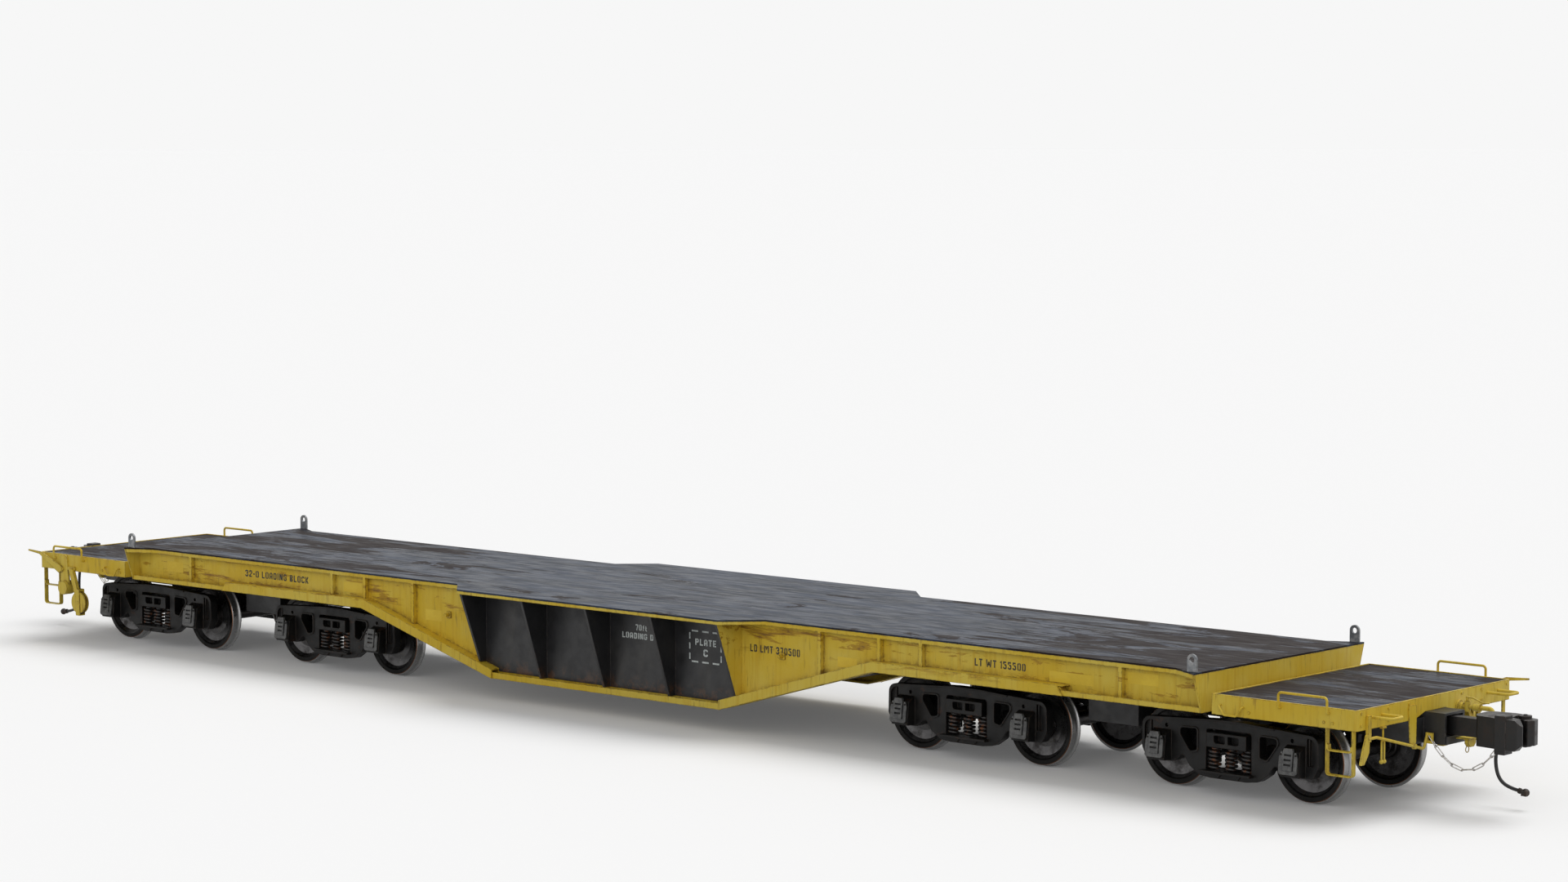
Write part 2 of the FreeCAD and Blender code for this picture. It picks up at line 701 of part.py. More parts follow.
def platform_frame():
    """Yellow sills round the end platform, with the beams that carry it on the span bolster."""
    x0, x1, w, t = platform_x0, platform_x1, platform_half_width, platform_sill
    outer = along_z([(x0, -w), (x1, -w, 34), (x1, w, 34), (x0, w)], platform_z0, platform_z1)
    inner = along_z([(x0 + t, -w + t), (x1 - t, -w + t, 16), (x1 - t, w - t, 16), (x0 + t, w - t)],
                    platform_z0 - 1, platform_z1 + 1)
    ring = outer.cut(inner)
    ledge = along_z([(x0 + t, -w + t), (x1 - t, -w + t), (x1 - t, w - t), (x0 + t, w - t)],
                    platform_z1 - tread_recess - tread_thickness - 22, platform_z1 - tread_recess - tread_thickness)
    hollow = along_z([(x0 + t + 60, -w + t + 60), (x1 - t - 60, -w + t + 60), (x1 - t - 60, w - t - 60),
                      (x0 + t + 60, w - t - 60)], platform_z0, platform_z1)
    ledge = ledge.cut(hollow)
    beams = []
    for x in (x0 + 420, x1 - 480):
        beams.append(box(x - 50, x + 50, -w + t, w - t, platform_z0 + 10,
                         platform_z1 - tread_recess - tread_thickness))
    half = draft_half_width + notch_margin
    notch = along_x([(-half - 200, platform_z0 - 1), (half + 200, platform_z0 - 1), (half, draft_z1 + 2),
                     (-half, draft_z1 + 2)], x1 - t - 1, x1 + 1)
    room = box(coupler_x - 400, x1, -half, half, platform_z0 - 1, draft_z1)
    hole = cyl(x1 - t - 1, pipe_y, pipe_z, pipe_radius + pipe_clearance, t + 2, V(1, 0, 0))
    return join([ring, ledge, *beams]).cut(notch).cut(room).cut(hole)


def platform_tread():
    x0, x1, w, t = platform_x0, platform_x1, platform_half_width, platform_sill
    c = 1.0
    return along_z([(x0 + t + c, -w + t + c), (x1 - t - c, -w + t + c, 16), (x1 - t - c, w - t - c, 16),
                    (x0 + t + c, w - t - c)], platform_z1 - tread_recess - tread_thickness, platform_z1 - tread_recess)


def draft_housing():
    """Sill box and striker that hold the coupler's shank, open at the mouth."""
    x0, x1 = coupler_x - 340, draft_x1
    hw, wall = draft_half_width, draft_wall
    rear = box(x0, platform_x1 - platform_sill, -span_half_width, span_half_width, draft_z0, platform_z0)
    shell = join([box(x0, x1, -hw, hw, draft_z0, draft_z1), rear])
    low, high = coupler_z - shank_height / 2 - 12, coupler_z + shank_height / 2 + 12
    room = box(x0 + wall, x1 + 30, -mouth_half_width, mouth_half_width, low, high)
    lip = box(x1 - 40, x1 + 16, -hw + 20, hw - 20, draft_z0, low)
    bore = cyl(coupler_x, 0, draft_z0 - 10, shank_pin_radius, draft_z1 - draft_z0 + 20)
    pin = cyl(coupler_x, 0, draft_z0, shank_pin_radius, draft_z1 - draft_z0)
    return join([join([shell, lip]).cut(room).cut(bore), pin])


def coupler():
    """Automatic coupler: shank, head and guard arm, pointing to +X."""
    z, half = coupler_z, head_height / 2
    shank = box(coupler_x - 110, coupler_x + shank_length, -shank_width / 2, shank_width / 2, z - shank_height / 2,
                z + shank_height / 2)
    fx = face_x
    head = along_z([(fx - 620, -100, 30), (fx - 560, -205, 40), (fx - 330, -235, 30), (fx - 210, -262, 20),
                    (fx - 30, -262, 40), (fx + 40, -225, 30), (fx - 60, -150, 30), (fx - 205, -80, 40),
                    (fx - 230, 60, 40), (fx - 190, 190, 30), (fx - 330, 214, 50), (fx - 560, 170, 40),
                    (fx - 620, 100, 30)], z - half, z + half)
    guard = along_y([(fx - 300, z - half - 52, 12), (fx - 168, z - half - 52, 12), (fx - 168, z + half + 34, 12),
                     (fx - 300, z + half + 34, 12)], -268, -120)
    trim = along_y([(fx - 60, z + half + 1), (fx + 60, z + half + 1), (fx + 60, z - half - 1), (fx - 60, z - half - 1),
                    (fx - 60, z - half - 0.5), (fx + 25, z - half + 70), (fx + 25, z + half - 70),
                    (fx - 60, z + half + 0.5)], -400, 400)
    body = join([shank, head, guard]).cut(trim)
    pin_x, pin_y = knuckle_pin_place()
    slot = cyl(pin_x, pin_y, z - knuckle_height / 2 - knuckle_clearance, 78 + knuckle_clearance,
               knuckle_height + 2 * knuckle_clearance)
    sweep = along_z([(pin_x - 90, pin_y - 118), (fx + 60, pin_y - 118), (fx + 60, pin_y + 120), (pin_x - 10, pin_y + 120),
                     (pin_x - 90, pin_y + 20)], z - knuckle_height / 2 - knuckle_clearance,
                    z + knuckle_height / 2 + knuckle_clearance)
    body = body.cut(slot).cut(sweep)
    ears = cyl(pin_x, pin_y, z - half, 70, head_height)
    middle = cyl(pin_x, pin_y, z - knuckle_height / 2 - knuckle_clearance, 90, knuckle_height + 2 * knuckle_clearance)
    pin = cyl(pin_x, pin_y, z - half - 12, knuckle_pin_radius, head_height + 24)
    body = join([body, ears.cut(middle), pin])
    return body.cut(cyl(coupler_x, 0, z - 200, shank_pin_radius + king_pin_clearance, 400))


def knuckle_pin_place():
    return face_x - 170.0, 140.0


def knuckle():
    """Hook that turns on the pin at the +Y side of the coupler head."""
    z, half = coupler_z, knuckle_height / 2
    px, py = knuckle_pin_place()
    hook = along_z([(px - 52, py - 34, 20), (px - 40, py - 100, 20), (px + 60, py - 104, 16), (px + 66, py - 150, 16),
                    (px + 122, py - 160, 30), (px + 168, py - 90, 40), (px + 140, py + 40, 60), (px + 10, py + 74, 50),
                    (px - 62, py + 40, 40)], z - half, z + half)
    bore = cyl(px, py, z - half - 1, knuckle_pin_radius + knuckle_pin_clearance, knuckle_height + 2)
    return hook.cut(bore)


# ---------------------------------------------------------------- rails, steps and fittings (end b)
def side_rail(x0, x1, side):
    """Low hand rail that stands off the side sill of the platform and rises above it."""
    y0 = side * platform_half_width
    y1 = side * (platform_half_width + 42)
    foot, top = platform_z1 - 62, platform_z1 + 108
    rail = bent_rod([(x0, y0, foot), (x0, y1, foot), (x0, y1, top), (x1, y1, top), (x1, y1, foot), (x1, y0, foot)],
                    rail_diameter, [18, 40, 40, 18])
    return rail


def low_grab(side):
    """Drop grab iron on the side sill beside the main deck."""
    x0, x1 = platform_x0 + 120, platform_x0 + 420
    y0, y1 = side * platform_half_width, side * (platform_half_width + 46)
    top, low = platform_z1 - 112, platform_z0 + 12
    return bent_rod([(x0, y0, top), (x0, y1, top), (x0 + 70, y1, low), (x1 - 70, y1, low), (x1, y1, top),
                     (x1, y0, top)], 22, [16, 30, 30, 16])


def end_handle(y0, y1):
    """Handle that stands out from the end sill."""
    z = platform_z0 + 128
    x0, x1 = platform_x1, platform_x1 + 268
    return bent_rod([(x0, y0, z), (x1, y0, z), (x1, y1, z), (x0, y1, z)], 34, 46)


def grab_irons():
    pieces = [end_handle(-1262, -1040), end_handle(1040, 1262)]
    for side in (1, -1):
        pieces += [side_rail(platform_x1 - rail_far, platform_x1 - rail_near, side), low_grab(side)]
    return pieces


def corner_step(x_low, side):
    """Two-rung stirrup step that hangs under the side sill."""
    x_high = x_low + step_tread_span
    low = platform_z0 - step_drop
    mid = low + 262
    y = side * (platform_half_width - 14)
    t = step_thickness
    y0, y1 = min(y, y - side * step_width), max(y, y - side * step_width)
    outer = along_y([(x_low, platform_z0), (x_low, low, 44), (x_high, low, 44), (x_high, platform_z0)], y0, y1)
    inner = along_y([(x_low + t, platform_z0 + 1), (x_low + t, low + t, 30), (x_high - t, low + t, 30),
                     (x_high - t, platform_z0 + 1)], y0 - 1, y1 + 1)
    rung = along_y([(x_low + t, mid + 70), (x_low + t, mid, 34), (x_high - t, mid, 34), (x_high - t, mid + 70),
                    (x_high - 2 * t, mid + 70), (x_high - 2 * t, mid + t, 20), (x_low + 2 * t, mid + t, 20),
                    (x_low + 2 * t, mid + 70)], y0, y1)
    return join([outer.cut(inner), rung])


def corner_steps():
    return [corner_step(platform_x1 - step_setback, side) for side in (1, -1)]


def release_lever():
    """Uncoupling rod on the near side of the end sill, with its handle, bracket strap and corner bracket."""
    x = platform_x1 + 26
    z_high, z_low = platform_z0 - 96, platform_z0 - 330
    rod = bent_rod([(x, -1345, z_high), (x, -1180, z_high), (x, -470, z_low + 52), (x, -264, z_low),
                    (x + 30, -238, z_low + 176)], rod_diameter, [60, 60, 26])
    strap = along_x([(-545, platform_z1 - 60, 30), (-385, platform_z1 - 60, 30), (-392, platform_z0 - 258, 20),
                     (-508, platform_z0 - 258, 20)], platform_x1, platform_x1 + 12)
    eye = cyl(platform_x1 + 8, -450, z_low + 48, 30, 36, V(1, 0, 0))
    handle = along_x([(-1310, z_high + 40, 20), (-1380, z_high + 60, 30), (-1452, z_high - 120, 30),
                      (-1500, platform_z0 - 362, 16), (-1420, platform_z0 - 362, 16), (-1330, z_high - 150, 20)],
                     x - 9, x + 9)
    hanger = box(platform_x1, platform_x1 + 36, -1350, -1294, platform_z0 - 130, platform_z0 + 150)
    loop = box(x + 10, x + 100, -250, -226, z_low + 60, z_low + 176)
    loop = loop.cut(box(x + 40, x + 76, -260, -216, z_low + 92, z_low + 146))
    return join([rod, strap, eye, handle, hanger, loop])


def chain_clevis():
    """Hanging shackle under the end sill."""
    y, z = -1012.0, platform_z0
    x = platform_x1 - 12
    pieces = [box(x - 10, x + 26, y - 40, y + 40, z - 22, z)]
    pieces.append(bent_rod([(x + 8, y, z - 20), (x + 8, y, z - 165)], 20, []))
    pieces.append(bent_rod([(x + 8, y - 26, z - 372), (x + 8, y - 26, z - 150), (x + 8, y + 26, z - 150),
                            (x + 8, y + 26, z - 372)], 22, 22))
    pieces += [Part.makeSphere(24, V(x + 8, y + side * 26, z - 378)) for side in (1, -1)]
    return join(pieces)


def elbow_place():
    """Where the train pipe turns down into the hose, and the way that the hose leaves it."""
    return V(platform_x1 + 424, pipe_y, pipe_z), V(24, 4, -150).normalize()


def brake_pipe():
    """Train-line pipe through the end sill, with its cut-out cock and elbow."""
    y, z, x1 = pipe_y, pipe_z, platform_x1
    along = V(1, 0, 0)
    elbow, way = elbow_place()
    pieces = [cyl(x1, y, z, 62, 26, along), cyl(x1 - 430, y, z, pipe_radius, 770, along), cyl(x1 + 20, y, z, 40, 48, along),
              cyl(x1 + 112, y, z - 56, 34, 118), cyl(x1 + 112, y, z + 40, 20, 70), cyl(x1 + 190, y, z, 42, 90, along)]
    pieces.append(bent_rod([(x1 + 280, y, z), elbow, elbow + way * elbow_drop], hose_diameter + 12, 48))
    pieces.append(bent_rod([(x1 + 112, y, z + 104), (x1 + 180, y + 6, z + 98), (x1 + 300, y + 16, z + 52),
                            (x1 + 372, y + 20, z + 58)], 18, [60, 60]))
    return join(pieces)


def hand_brake_gear():
    """Hand-brake lever, housing, draw tube and chain sheave on the far side of the platform."""
    y = platform_half_width
    x1 = platform_x1
    arm = along_y([(x1 + 206, platform_z1 + 24, 8), (x1 + 206, platform_z1 + 2, 8), (x1 - 40, platform_z1 - 26, 30),
                   (x1 - 470, platform_z0 - 40, 30), (x1 - 560, platform_z0 + 20, 40), (x1 - 480, platform_z0 + 76, 40),
                   (x1 - 90, platform_z1 + 8, 40)], y + 44, y + 58)
    plate = along_y([(x1 - 610, platform_z1 - 10, 40), (x1 - 470, platform_z1 - 10, 40), (x1 - 470, platform_z0 - 60, 30),
                     (x1 - 480, platform_z0 - 300, 80), (x1 - 680, platform_z0 - 300, 80),
                     (x1 - 640, platform_z0 - 40, 40)], y, y + 26)
    housing = cyl(x1 - 575, y - 70, platform_z0 - 240, 96, 150, V(0, 1, 0))
    drum = cyl(x1 - 515, y + 20, platform_z0 + 16, 34, 30, V(0, 1, 0))
    tube = along_y([(x1 - 760, platform_z0 + 36, 10), (x1 - 670, platform_z0 + 36, 10), (x1 - 800, platform_z0 - 320, 10),
                    (x1 - 890, platform_z0 - 320, 10)], y, y + 46)
    stem = along_y([(x1 - 790, platform_z0 + 60, 12), (x1 - 470, platform_z0 + 60, 12), (x1 - 470, platform_z0 + 10, 12),
                    (x1 - 790, platform_z0 + 10, 12)], y, y + 24)
    sx, sz = x1 - 866, platform_z0 - 430
    sheave = cyl(sx, y - 34, sz, 150, 20, V(0, 1, 0))
    sheave = join([sheave, cyl(sx, y - 14, sz, 122, 28, V(0, 1, 0)), cyl(sx, y + 14, sz, 150, 20, V(0, 1, 0))])
    bracket = along_y([(sx - 34, sz + 190, 10), (sx + 50, sz + 190, 10), (sx + 44, sz - 180, 20), (sx - 44, sz - 180, 20)],
                      y + 34, y + 46)
    back = along_y([(sx - 34, sz + 190, 10), (sx + 50, sz + 190, 10), (sx + 44, sz - 180, 20), (sx - 44, sz - 180, 20)],
                   y - 50, y - 36)
    pin = cyl(sx, y - 50, sz, 22, 100, V(0, 1, 0))
    bridge = box(sx - 30, sx + 44, y - 50, y + 46, sz + 156, sz + 186)
    foot = box(sx - 40, sx + 40, y - 50, y + 46, sz - 180, sz - 162)
    return join([plate, arm, housing, drum, tube, stem, sheave, bracket, back, pin, bridge, foot])


# ---------------------------------------------------------------- air hose (end b)
def hose_route():
    elbow, way = elbow_place()
    start = elbow + way * elbow_drop
    steps = [(24, 4, -150), (34, 8, -320), (22, 12, -490), (64, 14, -640), (178, 10, -722), (318, 4, -742)]
    return [tuple(start)] + [tuple(start + V(*step)) for step in steps]


def air_hose():
    route = hose_route()
    bends = []
    for before, here, after in zip(route, route[1:], route[2:]):
        a, b = V(*before) - V(*here), V(*after) - V(*here)
        turn = math.pi - a.getAngle(b)
        bends.append(0.45 * min(a.Length, b.Length) / math.tan(turn / 2))
    tube = bent_rod(route, hose_diameter, bends)
    print("hose bend radii", [round(r) for r in bends])
    return tube


def gladhand():
    """Hose coupling head at the lower end of the air hose."""
    end, before = V(*hose_route()[-1]), V(*hose_route()[-2])
    way = (end - before).normalize()
    neck = Part.makeCylinder(26, 64, end, way)
    nut = Part.makeCylinder(32, 22, end + way * 6, way)
    head = Part.makeSphere(44, end + way * 92)
    lug = box(end.x + 66, end.x + 132, end.y - 62, end.y - 20, end.z - 44, end.z + 8)
    return join([neck, nut, head, lug])


# ---------------------------------------------------------------- all the pieces
def save_body():
    girder, bay = side_girder(), middle_bay()
    save("deck", deck())
    save("side_girder_left", girder)
    save("side_girder_right", mirrored_y(girder))
    save("middle_bay_left", bay)
    save("middle_bay_right", mirrored_y(bay))
    save("end_plates", end_plates())
    save("centre_sill", centre_sill())
    save("cross_bearers", cross_bearers())
    save("lashing_lugs", lashing_lugs())


def save_trucks():
    for number, x in enumerate(truck_places, 1):
        save(f"sideframes_{number}", sideframes(x))
        save(f"truck_bolster_{number}", truck_bolster(x))
        save(f"spring_nests_{number}", spring_nests(x))
        save(f"brake_beams_{number}", brake_beams(x))
        for side, offset in enumerate((-axle_x, axle_x)):
            save(f"wheelset_{2 * number - 1 + side}", wheelset(x + offset))


def save_ends():
    pieces = {"span_bolster": span_bolster(), "platform_frame": platform_frame(), "platform_tread": platform_tread(),
              "draft_housing": draft_housing(), "grab_irons": grab_irons(), "corner_steps": corner_steps(),
              "release_lever": [release_lever(), chain_clevis()], "brake_pipe": brake_pipe(),
              "hand_brake_gear": hand_brake_gear(), "coupler": coupler(), "knuckle": knuckle(),
              "air_hose": air_hose(), "gladhand": gladhand()}
    for name, shapes in pieces.items():
        shapes = shapes if isinstance(shapes, list) else [shapes]
        save(name + "_b", shapes)
        save(name + "_a", [half_turned(shape) for shape in shapes])


os.makedirs("parts", exist_ok=True)
save_body()
save_trucks()
save_ends()
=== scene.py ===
import math

import bmesh
import bpy
from mathutils import Matrix, Vector


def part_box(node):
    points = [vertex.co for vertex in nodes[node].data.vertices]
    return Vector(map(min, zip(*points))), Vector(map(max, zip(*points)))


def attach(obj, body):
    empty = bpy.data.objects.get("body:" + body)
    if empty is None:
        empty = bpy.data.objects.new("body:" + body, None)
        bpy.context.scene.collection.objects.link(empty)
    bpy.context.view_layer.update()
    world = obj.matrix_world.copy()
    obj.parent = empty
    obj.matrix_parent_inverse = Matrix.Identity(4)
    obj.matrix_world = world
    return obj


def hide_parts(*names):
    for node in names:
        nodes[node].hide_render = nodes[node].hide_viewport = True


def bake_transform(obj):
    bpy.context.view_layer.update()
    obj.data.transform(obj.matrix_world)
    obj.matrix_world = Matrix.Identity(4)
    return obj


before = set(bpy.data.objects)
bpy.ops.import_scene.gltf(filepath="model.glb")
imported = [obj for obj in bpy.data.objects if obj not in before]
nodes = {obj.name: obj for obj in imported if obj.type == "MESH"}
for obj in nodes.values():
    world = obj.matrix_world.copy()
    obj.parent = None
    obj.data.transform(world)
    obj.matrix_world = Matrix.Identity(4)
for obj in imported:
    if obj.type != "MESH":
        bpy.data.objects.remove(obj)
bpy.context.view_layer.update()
ends = {"b": 1, "a": -1}  # end a is end b turned half round about Z


class Finish:
    # a material under construction, with short helpers for its nodes
    def __init__(self, name, metallic=0.0, roughness=0.5):
        self.material = bpy.data.materials.new(name)
        self.material.use_nodes = True
        self.tree = self.material.node_tree
        self.shader = self.tree.nodes["Principled BSDF"]
        self.shader.inputs["Metallic"].default_value = metallic
        self.shader.inputs["Roughness"].default_value = roughness
        self.coords = self.tree.nodes.new("ShaderNodeTexCoord").outputs["Object"]

    def link(self, a, b):
        self.tree.links.new(a, b)

    def stretched(self, x, y, z, place=(0, 0, 0)):
        node = self.tree.nodes.new("ShaderNodeMapping")
        node.inputs["Location"].default_value = place
        node.inputs["Scale"].default_value = (x, y, z)
        self.link(self.coords, node.inputs["Vector"])
        return node.outputs["Vector"]

    def noise(self, vector, scale, detail=4.0, roughness=0.55, distortion=0.0):
        node = self.tree.nodes.new("ShaderNodeTexNoise")
        node.inputs["Scale"].default_value = scale
        node.inputs["Detail"].default_value = detail
        node.inputs["Roughness"].default_value = roughness
        node.inputs["Distortion"].default_value = distortion
        self.link(vector, node.inputs["Vector"])
        return node.outputs["Fac"]

    def step(self, value, low, high, start=0.0, end=1.0):
        node = self.tree.nodes.new("ShaderNodeMapRange")
        node.interpolation_type = "SMOOTHSTEP"
        for socket, number in zip(("From Min", "From Max", "To Min", "To Max"), (low, high, start, end)):
            node.inputs[socket].default_value = number
        self.link(value, node.inputs["Value"])
        return node.outputs["Result"]

    def math(self, kind, a, b=0.5):
        node = self.tree.nodes.new("ShaderNodeMath")
        node.operation = kind
        for socket, value in zip(node.inputs, (a, b)):
            if isinstance(value, (int, float)):
                socket.default_value = value
            else:
                self.link(value, socket)
        return node.outputs["Value"]

    def mix(self, factor, a, b):
        node = self.tree.nodes.new("ShaderNodeMix")
        node.data_type = "RGBA"
        self.link(factor, node.inputs[0])
        for socket, value in zip((node.inputs[6], node.inputs[7]), (a, b)):
            if isinstance(value, tuple):
                socket.default_value = (*value, 1.0)
            else:
                self.link(value, socket)
        return node.outputs[2]

    def height(self, axis="Z"):
        node = self.tree.nodes.new("ShaderNodeSeparateXYZ")
        self.link(self.coords, node.inputs[0])
        return node.outputs[axis]

    def edges(self, radius):
        # 1 near an edge, 0 on a flat face
        bevel = self.tree.nodes.new("ShaderNodeBevel")
        bevel.samples = 4
        bevel.inputs["Radius"].default_value = radius
        flat = self.tree.nodes.new("ShaderNodeNewGeometry")
        dot = self.tree.nodes.new("ShaderNodeVectorMath")
        dot.operation = "DOT_PRODUCT"
        self.link(bevel.outputs["Normal"], dot.inputs[0])
        self.link(flat.outputs["Normal"], dot.inputs[1])
        return self.step(dot.outputs["Value"], 0.99, 0.8)

    def corners(self, distance):
        # 1 deep in an inner corner of the piece, 0 in the open; the mask for painted shade in corners
        node = self.tree.nodes.new("ShaderNodeAmbientOcclusion")
        node.samples = 6
        node.only_local = True
        node.inputs["Distance"].default_value = distance
        return self.step(node.outputs["AO"], 0.80, 0.35)

    def bump(self, value, distance, strength=0.6, soft=0.006):
        # fine relief over edges that catch the light as if they were rounded
        rounded = self.tree.nodes.new("ShaderNodeBevel")
        rounded.samples = 4
        rounded.inputs["Radius"].default_value = soft
        node = self.tree.nodes.new("ShaderNodeBump")
        self.link(rounded.outputs["Normal"], node.inputs["Normal"])
        node.inputs["Distance"].default_value = distance
        node.inputs["Strength"].default_value = strength
        self.link(value, node.inputs["Height"])
        self.link(node.outputs["Normal"], self.shader.inputs["Normal"])

    def colour(self, value):
        self.link(value, self.shader.inputs["Base Color"])

    def rough(self, value):
        self.link(value, self.shader.inputs["Roughness"])


# the last entry is how far the painted corner shade reaches out of inner corners
yellowLook = {"paint": (0.66, 0.455, 0.030), "faded": (0.68, 0.52, 0.075), "deep": (0.54, 0.32, 0.012),
              "ochre": (0.40, 0.225, 0.014), "stain": (0.16, 0.075, 0.018), "rust": (0.075, 0.032, 0.014),
              "edgeRadius": 0.022, "cornerShadeReach": 0.12}


def makeYellowPaint():
    f = Finish("yellowPaint")
    look = yellowLook
    clouds = f.step(f.noise(f.coords, 0.8, 5), 0.40, 0.62)
    colour = f.mix(clouds, look["paint"], look["faded"])
    brushed = f.step(f.noise(f.stretched(11, 11, 0.6), 2.0, 5), 0.48, 0.74)
    colour = f.mix(f.math("MULTIPLY", brushed, 0.50), colour, look["deep"])
    # ragged scuffs lie along the car, halfway up the webs, ochre with dark hearts
    height = f.height()
    band = f.math("MULTIPLY", f.step(height, 1.02, 1.12), f.step(height, 1.41, 1.33))
    band = f.math("MULTIPLY", band, f.step(f.math("ABSOLUTE", f.height("X")), 9.0, 8.9))
    smear = f.noise(f.stretched(0.75, 3.0, 5.4), 1.6, 10, 0.70, 0.35)
    scuffs = f.math("MULTIPLY", f.step(smear, 0.545, 0.557), band)
    colour = f.mix(f.math("MULTIPLY", scuffs, 0.85), colour, look["ochre"])
    heart = f.math("MULTIPLY", f.step(smear, 0.60, 0.62), band)
    colour = f.mix(f.math("MULTIPLY", heart, 0.75), colour, look["stain"])
    # brown runs below the deck edge, painted shade in the corners, chips on the edges
    runs = f.step(f.noise(f.stretched(7, 7, 0.9), 2.6, 7, 0.66), 0.56, 0.70)
    colour = f.mix(f.math("MULTIPLY", runs, 0.42), colour, look["stain"])
    patches = f.step(f.noise(f.coords, 7, 8, 0.72), 0.40, 0.58)
    # painted shade: the dark stain colour is laid in patches where ambient occlusion finds inner corners
    painted_corner_shade = f.math("MULTIPLY", f.corners(look["cornerShadeReach"]), patches)
    colour = f.mix(f.math("MULTIPLY", painted_corner_shade, 0.85), colour, look["stain"])
    chips = f.step(f.noise(f.coords, 11, 8, 0.72), 0.43, 0.56)
    worn = f.math("MULTIPLY", f.edges(look["edgeRadius"]), chips)
    colour = f.mix(f.math("MULTIPLY", worn, 0.9), colour, look["rust"])
    f.colour(colour)
    f.rough(f.step(f.noise(f.coords, 5, 6), 0.3, 0.7, 0.40, 0.64))
    f.shader.inputs["Specular IOR Level"].default_value = 0.32
    f.bump(f.noise(f.coords, 60, 4), 0.0015, 0.35)
    return f.material


deckLook = {"steel": (0.013, 0.018, 0.028), "pale": (0.034, 0.046, 0.072), "rust": (0.012, 0.006, 0.004),
            "dark": (0.008, 0.007, 0.0065)}


def makeDeckSteel():
    f = Finish("deckSteel")
    look = deckLook
    grain = f.step(f.noise(f.stretched(0.5, 2.6, 3.0), 1.4, 7, 0.6, 0.4), 0.36, 0.66)
    colour = f.mix(grain, look["steel"], look["pale"])
    fine = f.step(f.noise(f.stretched(1.4, 22, 5), 2.2, 8, 0.68), 0.52, 0.62)
    colour = f.mix(f.math("MULTIPLY", fine, 0.45), colour, look["dark"])
    # long brown stains with torn ends, thickest towards both ends of the car
    along = f.math("ABSOLUTE", f.height("X"))
    spread = f.step(along, 1.5, 8.6, -0.02, 0.095)
    stains = f.math("ADD", f.noise(f.stretched(0.34, 1.35, 2.0), 1.25, 12, 0.70, 0.9), spread)
    rust = f.step(stains, 0.565, 0.60)
    torn = f.step(f.math("ADD", f.noise(f.stretched(0.8, 9.0, 2.0), 1.6, 12, 0.74, 0.3), spread), 0.60, 0.635)
    cover = f.math("MAXIMUM", f.math("MULTIPLY", rust, 0.92), f.math("MULTIPLY", torn, 0.85))
    colour = f.mix(cover, colour, look["rust"])
    f.colour(colour)
    gloss = f.step(f.noise(f.stretched(1, 5, 5), 2.4, 6), 0.3, 0.7, 0.34, 0.52)
    f.rough(f.math("ADD", gloss, f.math("MULTIPLY", cover, 0.22)))
    f.shader.inputs["Specular IOR Level"].default_value = 0.11
    f.bump(f.noise(f.coords, 90, 5, 0.6), 0.002, 0.5)
    return f.material


blackLook = {"paint": (0.012, 0.012, 0.013), "dust": (0.030, 0.028, 0.026), "rust": (0.10, 0.045, 0.02),
             "worn": (0.12, 0.09, 0.07), "edgeRadius": 0.014, "footLow": 0.36, "footHigh": 0.60}


def makeBlackPaint():
    f = Finish("blackPaint")
    look = blackLook
    dust = f.step(f.noise(f.stretched(2, 2, 0.9), 1.4, 6), 0.45, 0.75)
    colour = f.mix(dust, look["paint"], look["dust"])
    # rusty patches towards the foot of the bays
    foot = f.step(f.height(), look["footLow"], look["footHigh"], 1.0, 0.0)
    patches = f.step(f.noise(f.coords, 9, 8, 0.7), 0.46, 0.6)
    colour = f.mix(f.math("MULTIPLY", f.math("MULTIPLY", foot, patches), 0.8), colour, look["rust"])
    worn = f.math("MULTIPLY", f.edges(look["edgeRadius"]), f.step(f.noise(f.coords, 17, 6, 0.7), 0.45, 0.65))
    colour = f.mix(f.math("MULTIPLY", worn, 0.6), colour, look["worn"])
    f.colour(colour)
    f.rough(f.step(f.noise(f.coords, 6, 5), 0.3, 0.7, 0.34, 0.55))
    f.bump(f.noise(f.coords, 70, 4), 0.001, 0.3)
    return f.material


truckLook = {"iron": (0.0045, 0.0043, 0.0042), "dust": (0.012, 0.0105, 0.0095), "worn": (0.10, 0.060, 0.036),
             "rust": (0.060, 0.024, 0.012), "edgeRadius": 0.012}


def makeTruckCasting():
    f = Finish("truckCasting", 0.1)
    look = truckLook
    dust = f.step(f.noise(f.coords, 3.2, 6), 0.46, 0.72)
    colour = f.mix(dust, look["iron"], look["dust"])
    worn = f.math("MULTIPLY", f.edges(look["edgeRadius"]), f.step(f.noise(f.coords, 15, 6, 0.7), 0.42, 0.62))
    colour = f.mix(f.math("MULTIPLY", worn, 0.6), colour, look["worn"])
    rust = f.step(f.noise(f.coords, 5, 8, 0.7), 0.60, 0.68)
    colour = f.mix(f.math("MULTIPLY", rust, 0.5), colour, look["rust"])
    f.colour(colour)
    f.rough(f.step(f.noise(f.coords, 8, 5), 0.3, 0.7, 0.34, 0.56))
    f.shader.inputs["Specular IOR Level"].default_value = 0.3
    f.bump(f.noise(f.coords, 110, 5, 0.65), 0.0025, 0.5, 0.012)
    return f.material


springLook = {"steel": (0.013, 0.012, 0.012), "rust": (0.130, 0.045, 0.014)}


def makeSpringSteel():
    f = Finish("springSteel", 0.2)
    tint = f.step(f.noise(f.coords, 16, 6, 0.65), 0.52, 0.64)
    f.colour(f.mix(tint, springLook["steel"], springLook["rust"]))
    f.rough(f.step(tint, 0.0, 1.0, 0.34, 0.62))
    f.bump(f.noise(f.coords, 150, 4), 0.001, 0.4, 0.002)
    return f.material


